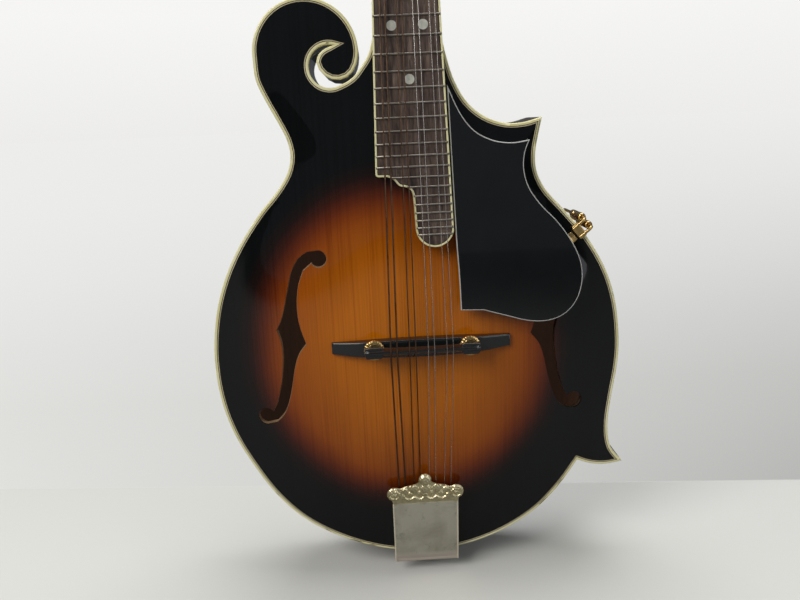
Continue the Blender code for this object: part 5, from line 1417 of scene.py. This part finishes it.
def crown_relief(across, along):
    """The embossed crown: two volutes with a spiral groove, a knob, beads and leaves, over a plain plate."""
    side = np.abs(across)
    relief = np.zeros(np.shape(side))
    volute = (19.6, 55.0)
    away = np.hypot(side - volute[0], along - volute[1])
    turn = np.arctan2(along - volute[1], side - volute[0])
    coil = 0.5 + 0.5 * np.cos(2 * math.pi * (away / 1.9 - turn / (2 * math.pi)))
    disc = smoothstep((4.6 - away) / 1.0)
    relief = relief + disc * (0.5 + 0.75 * coil)
    relief = np.maximum(relief, bump_dome(side, along, volute, 1.5, 1.6))
    relief = np.maximum(relief, bump_dome(side, along, (0, 64.9), 3.8, 1.9))
    for centre, radius, height in (((0, 58.6), 3.6, 1.3), ((7.2, 58.8), 3.1, 1.15), ((12.9, 57.2), 2.4, 1.0)):
        relief = np.maximum(relief, bump_dome(side, along, centre, radius, height))
    for centre, radius in (((3.9, 55.6), 1.6), ((9.9, 55.0), 1.8), ((14.2, 53.4), 1.4), ((0, 54.4), 1.9)):
        relief = np.maximum(relief, bump_dome(side, along, centre, radius, 1.0))
    vein = np.abs(along - 51.3 - 0.9 * np.cos(side * 0.9))
    relief = np.maximum(relief, 0.85 * smoothstep((0.95 - vein) / 0.7) * smoothstep((16.4 - side) / 1.5))
    fine = 0.3 * np.sin(side * 3.0 + np.sin(along * 1.3)) * np.sin(along * 2.9)
    fine = fine * smoothstep((along - 49.5) / 1.5)
    return (relief + fine) * smoothstep((along - 48.6) / 0.9)


def crown_outline():
    right = [(21.0, 48.2), (21.3, 50.0), *arc((19.6, 55.0), 4.8, -48, 122, 14), (15.4, 58.9), (13.0, 60.1)]
    right += [(9.6, 60.9), (6.6, 61.6), (4.9, 62.5), *arc((0, 64.9), 4.1, -18, 90, 9)]
    return right


def make_tailpiece():
    half = COVER_HALF_WIDTH
    corner = 1.2
    low = arc((half - corner, corner), corner, -90, 0, 6)
    shoulder = COVER_SIDE_LENGTH
    right = [*low, (half, shoulder - 1), *smooth(crown_outline(), 0.9)]
    plan = mirrored(right)
    body_plan = [point for point in plan if point[1] < shoulder + 0.5]

    def dished(across, along):
        swell = 0.35 * smoothstep((half - np.abs(across)) / 5) * smoothstep(along / 6)
        bend = -1.1 * (1 - smoothstep(along / 6.5))
        return swell + bend - 0.35

    def crown_top(across, along):
        return crown_relief(across, along) - 0.15

    plate = rounded_slab(body_plan, dished, -1.0, 0.5, tailpiece_point, spacing=1.6)
    walls = [swept_wall(side, half) for side in (-1, 1)]
    lip = block(tailpiece_point, (-half + 0.6, 0.05, -6.1), (half - 0.6, 0.75, -1.0))
    cover = joined([plate, *walls, lip])
    body = "tailpiece_cover"
    piece("cover_plate", cover, "champagne", body, [body], sharp=40)
    low_end = shoulder - 1.2
    crown_plan = [p for p in plan if p[1] > shoulder - 0.5 and (p[0] > -half + 0.3 or p[1] > shoulder + 1)]
    crown_plan = [(half - 0.2, low_end), *crown_plan, (-half + 0.2, low_end)]
    crown = slab(crown_plan, crown_top, -1.0, tailpiece_point, spacing=0.42)
    piece("cover_crown", crown, "crown", body, sharp=75)
    # Painted highlights: a pale rod along each side edge of the cover stands in for the light that edge
    # catches
    edge = []
    for side in (-1, 1):
        line = [tailpiece_point(side * (half - 0.45), y, -0.55) for y in np.linspace(0.6, shoulder - 0.6, 24)]
        edge.append(tube(line, 0.5, 8))
    piece("cover_edge_gleam", joined(edge), "gleam", body)
    make_tailpiece_base()


def swept_wall(side, half):
    low = (side * half, 0.4, -4.2)
    high = (side * (half - COVER_METAL), COVER_SIDE_LENGTH - 0.4, -0.8)
    return block(tailpiece_point, low, high)


def make_tailpiece_base():
    plan = [(-12, 1.2), (12, 1.2), (17.5, 6), (17.5, 36), (-17.5, 36), (-17.5, 6)]
    parts = [rounded_slab(plan, -4.6, -5.6, 0.3, tailpiece_point)]
    parts.append(block(body_point, (-12, -1.7, -34), (12, -0.6, 2.6)))
    for across in string_spread(COURSE_AT_TAIL, PAIR_AT_TAIL):
        bends = ((0.6, -5.2), (0.6, -3.6), (-0.2, -2.7), (-1.4, -2.4))
        path = [(across, HOOK_ALONG + along, out) for along, out in bends]
        parts.append(tube([tailpiece_point(*p) for p in smooth(path, 0.4)], 0.62, 14))
    piece("tailpiece_plate", joined(parts), "nickel", replaces=["tailpiece_base"])
    screws = []
    for x, y in ((-14, 9), (14, 9), (0, 32)):
        screws.append(screw(frame_matrix(tailpiece_point, (x, y, -4.6)), 1.7, 0.8))
    for x in (-7.5, 7.5):
        low = frame_matrix(body_point, (x, -1.7, -30)) @ Matrix.Rotation(math.radians(90), 4, "X")
        screws.append(screw(low, 1.7, 0.8))
    piece("tailpiece_screws", joined(screws), "nickel")


def make_end_pin():
    matrix = frame_matrix(body_point, (0, 0, -BODY_DEPTH / 2)) @ Matrix.Rotation(math.radians(90), 4, "X")
    shank = [(3.2, -14), (3.6, 2.2)]
    head = [(8.0, 2.2), (8.2, 2.5), (8.2, 3.4), (7.7, 3.9), (5.6, 4.8), (4.7, 6.2), (4.7, 7.6), (5.6, 9.2)]
    head += [(7.2, 10.3), (7.9, 11.3), (8.0, 12.1), (7.6, 12.8), (7.0, END_PIN_TOP), (0.5, END_PIN_TOP)]
    profile = [(0, -14), *smooth(shank, 9), *smooth(head, 0.5), (0, END_PIN_TOP)]
    pin = lathe(profile, matrix, 56)
    piece("strap_pin", pin, "pin", replaces=["end_pin"], sharp=50)


# Strings

def string_post(index):
    """Which post a string winds on: (side, number from the nut). The outer courses use the near posts."""
    return ((-1, 0), (-1, 1), (-1, 2), (-1, 3), (1, 3), (1, 2), (1, 1), (1, 0))[index]


def string_points(index):
    radius = STRING_RADII[index]
    tail = string_spread(COURSE_AT_TAIL, PAIR_AT_TAIL)[index]
    saddle = BRIDGE_ACROSS / 2 + string_spread(COURSE_AT_SADDLE, PAIR_AT_SADDLE)[index]
    nut = string_spread(COURSE_AT_NUT, PAIR_AT_NUT)[index]
    side, number = string_post(index)
    across = side * (POST_ACROSS - POST_WAIST - radius)
    return {
        "hook": Vector(tailpiece_point(tail, HOOK_ALONG + 1.6, -3.4)),
        "saddle": Vector(body_point(saddle, BRIDGE_ALONG, SADDLE_TOP - 0.25 + radius)),
        "nut": Vector(neck_point(nut, SCALE_LENGTH + 0.1, NUT_TOP - 0.3 + radius)),
        "nut_back": Vector(neck_point(nut, HEAD_START - 0.6, NUT_TOP - 0.4 + radius)),
        "post": Vector(head_point(across, FIRST_POST + number * POST_SPACING + 0.5, STRING_AT_POST)),
    }


def make_string(index):
    name = STRING_NAMES[index]
    radius = STRING_RADII[index]
    points = string_points(index)
    finish = "bronze" if index < WOUND_STRINGS else "steel"
    tail_path = [points["hook"].lerp(points["saddle"], t) for t in np.linspace(0, 1, 18)]
    tail = piece(f"{name}_tail", tube(tail_path, radius, 12), finish, None, [name])
    start, end = (points[key] * MM for key in ("hook", "saddle"))
    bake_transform(tail)
    neck_path = [points["saddle"].lerp(points["nut"], t) for t in np.linspace(0, 1, 40)]
    neck_path += [points["nut_back"].lerp(points["post"], t) for t in np.linspace(0, 1, 8)]
    long_piece = piece(f"{name}_neck", tube(neck_path, radius, 12), finish, None)
    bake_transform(long_piece)
    make_coil(name, index, radius, finish)
    loop = []
    hook = Vector((string_spread(COURSE_AT_TAIL, PAIR_AT_TAIL)[index], HOOK_ALONG + 0.7, -3.5))
    for angle in full_turn(20):
        loop.append(tailpiece_point(*polar(1.15, angle, hook), hook.z))
    twist = []
    start, direction = points["hook"], (points["saddle"] - points["hook"]).normalized()
    across = Vector((1, 0, 0))
    out = direction.cross(across)
    for t in np.linspace(0, 1, 60):
        angle = 14 * math.pi * t
        shift = across * math.cos(angle) + out * math.sin(angle)
        twist.append(start + direction * (1.0 + 8.0 * t) + shift * (radius + 0.18))
    ends = joined([tube(loop, 0.2, 8, closed=True), tube(twist, 0.2, 8)])
    piece(f"{name}_loop", ends, "steel", "body")


def make_coil(name, index, radius, finish):
    """The turns of a string round its post, stacked down from where it arrives."""
    side, number = string_post(index)
    side_name = "bass" if side < 0 else "treble"
    centre = (side * POST_ACROSS, FIRST_POST + number * POST_SPACING)
    path = []
    around = POST_WAIST + radius
    for t in np.linspace(0, COIL_TURNS, COIL_TURNS * 26):
        angle = (math.pi if side > 0 else 0) - side * 2 * math.pi * t
        level = STRING_AT_POST - t * 2 * radius * 1.04
        path.append(head_point(*polar(around, angle, centre), level))
    coil = tube(path, radius, 10)
    piece(f"{name}_coil", coil, finish, f"tuner_post_{side_name}_{number + 1}")


# Pickguard and its clamp

def make_pickguard():
    plan = smooth(PICKGUARD_TOP_EDGE, 2.2)[:-1]
    round_edge = [PICKGUARD_TOP_EDGE[-1], *PICKGUARD_WAIST, *PICKGUARD_BELLY, PICKGUARD_CORNER[0]]
    plan += smooth(round_edge, 2.2)[:-1]
    plan += PICKGUARD_CORNER + smooth(PICKGUARD_SIDE, 4)[1:-1]
    plan = plan[::-1]
    if signed_area(plan) < 0:
        plan = plan[::-1]
    line, rounding, under = 0.55, 0.22, GUARD_TOP - GUARD_THICKNESS
    inner = inset(plan, line)
    guard = slab(inner, GUARD_TOP, under, neck_point)
    piece("guard_plate", guard, "guard", replaces=["pickguard"])
    ring = slab(offset(plan, rounding), GUARD_TOP + 0.01, under, neck_point, [inner])
    corner = [(rounding, GUARD_TOP + 0.01), (0.0, GUARD_TOP - 0.25), (0.0, under), (rounding, under)]
    piece("guard_edge", joined([ring, swept(plan, corner, neck_point)]), "edge")


def signed_area(points):
    path = np.array(points)
    after = np.roll(path, -1, axis=0)
    return 0.5 * np.sum(path[:, 0] * after[:, 1] - path[:, 1] * after[:, 0])


def clamp_foot(middle):
    """A rounded plate along the rim."""
    half, thick = 4.7, 0.85
    plan = arc((half - 1.5, -3.3), 1.5, -90, 0, 8) + arc((half - 1.2, -0.6), 1.2, 0, 90, 8)
    plan += [(-x, y) for x, y in plan[::-1]]
    return rounded_slab(plan, middle + thick, middle - thick, 0.4, clamp_point, both=True)


def clamp_legs(bend, end):
    """Two rods from a foot, level at bend, that turn towards the other foot and stop at end."""
    legs, radius = [], CLAMP_BEND_RADIUS
    straight, turn = CLAMP_LEG_OUTWARD - radius, math.copysign(1, end - bend)
    for place in (-CLAMP_HALF_SPACING, CLAMP_HALF_SPACING):
        path = [(place, -4, bend), (place, straight, bend)]
        for angle in np.linspace(0, math.pi / 2, 9)[1:]:
            level = bend + turn * radius * (1 - math.cos(angle))
            path.append((place, straight + radius * math.sin(angle), level))
        path.append((place, CLAMP_LEG_OUTWARD, end))
        legs.append(tube([clamp_point(*point) for point in path], CLAMP_ROD_RADIUS, 20))
    return legs


def clamp_arm():
    """The strip from the top foot up to the pickguard's underside."""
    under = SCALE_END_OUT - 57 * math.sin(NECK_ANGLE) + GUARD_TOP - GUARD_THICKNESS
    path = [(-6, 1.7), (-10, 2.4), (-13.5, 8), (-15, under - 3.4), (-17, under - 1.6), (-25, under - 1.7)]
    sections = []
    path = smooth(path, 0.8)
    for i, (outward, out) in enumerate(path):
        before, after = path[max(i - 1, 0)], path[min(i + 1, len(path) - 1)]
        step = Vector((after[0] - before[0], after[1] - before[1])).normalized() * 0.7
        ring = [(-3, 0.8), (-2.8, 1), (2.8, 1), (3, 0.8), (3, -0.8), (2.8, -1), (-2.8, -1), (-3, -0.8)]
        sections.append([clamp_point(x, outward - s * step.y, out + s * step.x) for x, s in ring])
    return loft(sections)


def make_clamp():
    legs = clamp_legs(CLAMP_ROD_LEVEL, BARREL_BOTTOM + BARREL_LENGTH - ROD_IN_BARREL)
    top = joined([clamp_foot(CLAMP_FOOT_LEVEL), *legs, clamp_arm()])
    piece("clamp_top", top, "gold", replaces=["pickguard_clamp_top_foot"], sharp=45)
    foot = "pickguard_clamp_bottom_foot"
    legs = clamp_legs(-BODY_DEPTH - CLAMP_ROD_LEVEL, BARREL_BOTTOM + ROD_IN_BARREL)
    bottom = joined([clamp_foot(-BODY_DEPTH - CLAMP_FOOT_LEVEL), *legs])
    piece("clamp_bottom", bottom, "gold", foot, [foot], sharp=45)
    pads = (("top", 0.12, 0.9, "body"), ("bottom", -BODY_DEPTH - 0.9, -BODY_DEPTH - 0.12, foot))
    for name, low, high, body in pads:
        pad = block(clamp_point, (-4.2, -4.2, low), (4.2, -0.2, high))
        piece(f"clamp_pad_{name}", pad, "cork", body, bevel=0.15)
    for number, place in enumerate((-CLAMP_HALF_SPACING, CLAMP_HALF_SPACING), 1):
        name = f"pickguard_clamp_barrel_{number}"
        barrel = barrel_mesh(frame_matrix(clamp_point, (place, CLAMP_LEG_OUTWARD, BARREL_BOTTOM)))
        piece(f"clamp_barrel_{number}", barrel, "gold", name, [name], sharp=40)


def barrel_mesh(matrix):
    """A long nut with rounded ends and a knurled band at its middle."""
    sections, steps = [], 96
    bore, groove = CLAMP_ROD_RADIUS + 0.15, BARREL_RADIUS - 0.3
    for i in range(steps):
        angle = 2 * math.pi * i / steps
        knurl = BARREL_RADIUS - 0.05 - 0.14 * (0.5 + 0.5 * math.cos(24 * angle))
        shape = [(bore, 0.1), (1.8, 0), (2.2, 0.25), (BARREL_RADIUS, 0.8), (BARREL_RADIUS, 7.4)]
        shape += [(groove, 7.6), (knurl, 8.0), (knurl, 13.0), (groove, 13.4), (BARREL_RADIUS, 13.6)]
        shape += [(BARREL_RADIUS, BARREL_LENGTH - 0.8)]
        shape += [(2.2, BARREL_LENGTH - 0.25), (1.8, BARREL_LENGTH), (bore, BARREL_LENGTH - 0.1)]
        direction = Vector((math.cos(angle), math.sin(angle), 0))
        sections.append([tuple(matrix @ (direction * r + Vector((0, 0, z)))) for r, z in shape])
    return loft(sections, closed=True)


def dress_hidden_nodes():
    """Inner parts keep their solids, finished as plain metal or as raw wood with a painted glow."""
    replaced = {name for shown in bpy.data.objects for name in shown.get("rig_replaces", [])}
    for name, node in frame["nodes"].items():
        if name in replaced:
            continue
        finish = "nickel" if name.startswith("truss_rod") else "glowing_raw"
        for material_slot in node.material_slots:
            material_slot.material = FINISHES[finish]


# Stage, lights and camera. FLOOR_HALF and FLOOR_FADE are in metres, SWEEP_EYE is the camera (y, z) in metres.

CAMERA_POINT = (-22.63, 278.92, 424.34)
CAMERA_ANGLES = (0.044, 0.243, 0.029)
CAMERA_LENS = 32.08
FLOOR_STEP = 91.3
FLOOR_SLANT = 0.0945
FLOOR_HALF = 60.0
FLOOR_FADE = (0.55, 1.7)
FLOOR_NEAR = (0.7, 0.7, 0.665)
FLOOR_FAR_GLOW = (0.74, 0.74, 0.725)
FLOOR_UNSEEN = (0.2, 0.2, 0.195)
SWEEP_TILT = 2.0
SWEEP_EYE = (-0.4243, 0.2919)
SWEEP_STOPS = [(0.0, (0.845, 0.841, 0.832)), (0.1, (0.807, 0.805, 0.795)), (0.2, (0.753, 0.752, 0.742))]
SWEEP_STOPS += [(0.3, (0.69, 0.69, 0.675)), (0.4, (0.64, 0.641, 0.622)), (0.6, (0.605, 0.607, 0.588))]


def make_camera():
    roll, tilt, turn = CAMERA_ANGLES
    turned = Matrix.Rotation(roll, 3, "Z") @ Matrix.Rotation(tilt, 3, "X") @ Matrix.Rotation(turn, 3, "Y")
    axes = Matrix([(row[0], -row[2], row[1]) for row in turned]).transposed()
    camera = bpy.data.objects.new("camera", bpy.data.cameras.new("camera"))
    camera.data.lens = CAMERA_LENS
    camera.data.sensor_width = 36.0
    camera.data.clip_start = 0.01
    camera.matrix_world = Matrix.Translation(Vector(body_point(*CAMERA_POINT)) * MM) @ axes.to_4x4()
    bpy.context.scene.collection.objects.link(camera)
    bpy.context.scene.camera = camera


def area_light(name, place, target, size, watts, colour=(1, 1, 1)):
    lamp = bpy.data.lights.new(name, "AREA")
    lamp.shape = "RECTANGLE"
    lamp.size, lamp.size_y = size
    lamp.energy = watts
    lamp.color = colour
    made = bpy.data.objects.new(name, lamp)
    made.location = place
    made.rotation_euler = (Vector(target) - Vector(place)).to_track_quat("-Z", "Y").to_euler()
    bpy.context.scene.collection.objects.link(made)


def make_stage():
    """A pale floor, and beyond its far edge a bright paper sweep that only the camera sees lit."""
    finish = Finish("studio_floor", Roughness=0.85, Specular_IOR_Level=0.1)
    split = finish.node("SeparateXYZ", {"Vector": finish.node("TexCoord").outputs["Object"]})
    seen = finish.node("LightPath").outputs["Is Camera Ray"]
    slant = finish.math("MULTIPLY", split.outputs["X"], FLOOR_SLANT)
    behind = finish.math("SUBTRACT", finish.math("ADD", split.outputs["Y"], slant), FLOOR_STEP * MM)
    step = finish.node("MapRange", {"Value": behind, "From Min": -0.001, "From Max": 0.001})
    beyond = step.outputs["Result"]
    away = finish.math("SUBTRACT", split.outputs["Y"], SWEEP_EYE[0])
    drop = finish.math("DIVIDE", SWEEP_EYE[1], away)
    sideways = finish.math("MULTIPLY", finish.math("MULTIPLY", split.outputs["X"], drop), drop)
    tilt = finish.math("SUBTRACT", 1.0, finish.math("MULTIPLY", sideways, SWEEP_TILT))
    inputs = {"Vector": finish.ramp(drop, SWEEP_STOPS), "Scale": tilt}
    sweep = finish.node("VectorMath", inputs, operation="SCALE").outputs["Vector"]
    inputs = {"Vector": finish.node("TexCoord").outputs["Object"]}
    reach = finish.node("VectorMath", inputs, operation="LENGTH").outputs["Value"]
    start, end = FLOOR_FADE
    far = finish.node("MapRange", {"Value": reach, "From Min": start, "From Max": end})
    far = finish.math("MAXIMUM", beyond, far.outputs["Result"])
    near = finish.mix(far, FLOOR_NEAR, (0.0, 0.0, 0.0))
    finish.colour(finish.mix(seen, FLOOR_UNSEEN, near))
    lit = finish.math("MULTIPLY", far, seen)
    glow = finish.mix(beyond, FLOOR_FAR_GLOW, sweep)
    finish.put(finish.shader.inputs["Emission Color"], finish.mix(lit, (0.0, 0.0, 0.0), glow))
    finish.shader.inputs["Emission Strength"].default_value = 1.0
    mesh = bpy.data.meshes.new("studio_floor")
    corners = [(x * FLOOR_HALF, y * FLOOR_HALF, 0) for x, y in ((-1, -1), (1, -1), (1, 1), (-1, 1))]
    mesh.from_pydata(corners, [], [(0, 1, 2, 3)])
    mesh.materials.append(finish.material)
    floor = bpy.data.objects.new("studio_floor", mesh)
    bpy.context.scene.collection.objects.link(floor)


def make_world():
    """Bright to the camera, brighter upwards, and dim to everything else."""
    world = bpy.data.worlds.new("studio")
    bpy.context.scene.world = world
    world.use_nodes = True
    tree = world.node_tree
    seen, lit = tree.nodes["Background"], tree.nodes.new("ShaderNodeBackground")
    split = tree.nodes.new("ShaderNodeSeparateXYZ")
    tree.links.new(tree.nodes.new("ShaderNodeTexCoord").outputs["Generated"], split.inputs["Vector"])
    rise = tree.nodes.new("ShaderNodeMapRange")
    tree.links.new(split.outputs["Z"], rise.inputs["Value"])
    rise.inputs["From Max"].default_value = 0.14
    rise.inputs["To Min"].default_value = 0.845
    rise.inputs["To Max"].default_value = 0.92
    tree.links.new(rise.outputs["Result"], seen.inputs["Strength"])
    seen.inputs["Color"].default_value = (1.0, 0.995, 0.985, 1)
    lit.inputs["Color"].default_value = (0.85, 0.92, 1.0, 1)
    lit.inputs["Strength"].default_value = 0.1
    path, mix = tree.nodes.new("ShaderNodeLightPath"), tree.nodes.new("ShaderNodeMixShader")
    tree.links.new(path.outputs["Is Camera Ray"], mix.inputs["Fac"])
    tree.links.new(lit.outputs["Background"], mix.inputs[1])
    tree.links.new(seen.outputs["Background"], mix.inputs[2])
    tree.links.new(mix.outputs["Shader"], tree.nodes["World Output"].inputs["Surface"])


def make_studio():
    make_camera()
    make_stage()
    make_world()
    middle = Vector(body_point(0, 150, 0)) * MM
    area_light("key", (-1.3, -1.3, 1.5), middle, (1.2, 1.2), 34, (1.0, 0.98, 0.95))
    area_light("fill", (1.5, -1.2, 0.6), middle, (1.6, 1.6), 9, (0.94, 0.97, 1.0))
    area_light("top", (0.1, 0.3, 1.9), middle, (1.8, 1.2), 26)
    bpy.context.scene.view_settings.view_transform = "Standard"
    bpy.context.scene.view_settings.look = "None"


def main():
    make_body()
    make_neck()
    make_head()
    make_truss_rod()
    make_fretboard()
    make_nut()
    make_tuners()
    make_bridge()
    make_tailpiece()
    make_end_pin()
    for index in range(len(STRING_NAMES)):
        make_string(index)
    make_pickguard()
    make_clamp()
    dress_hidden_nodes()
    make_studio()


main()
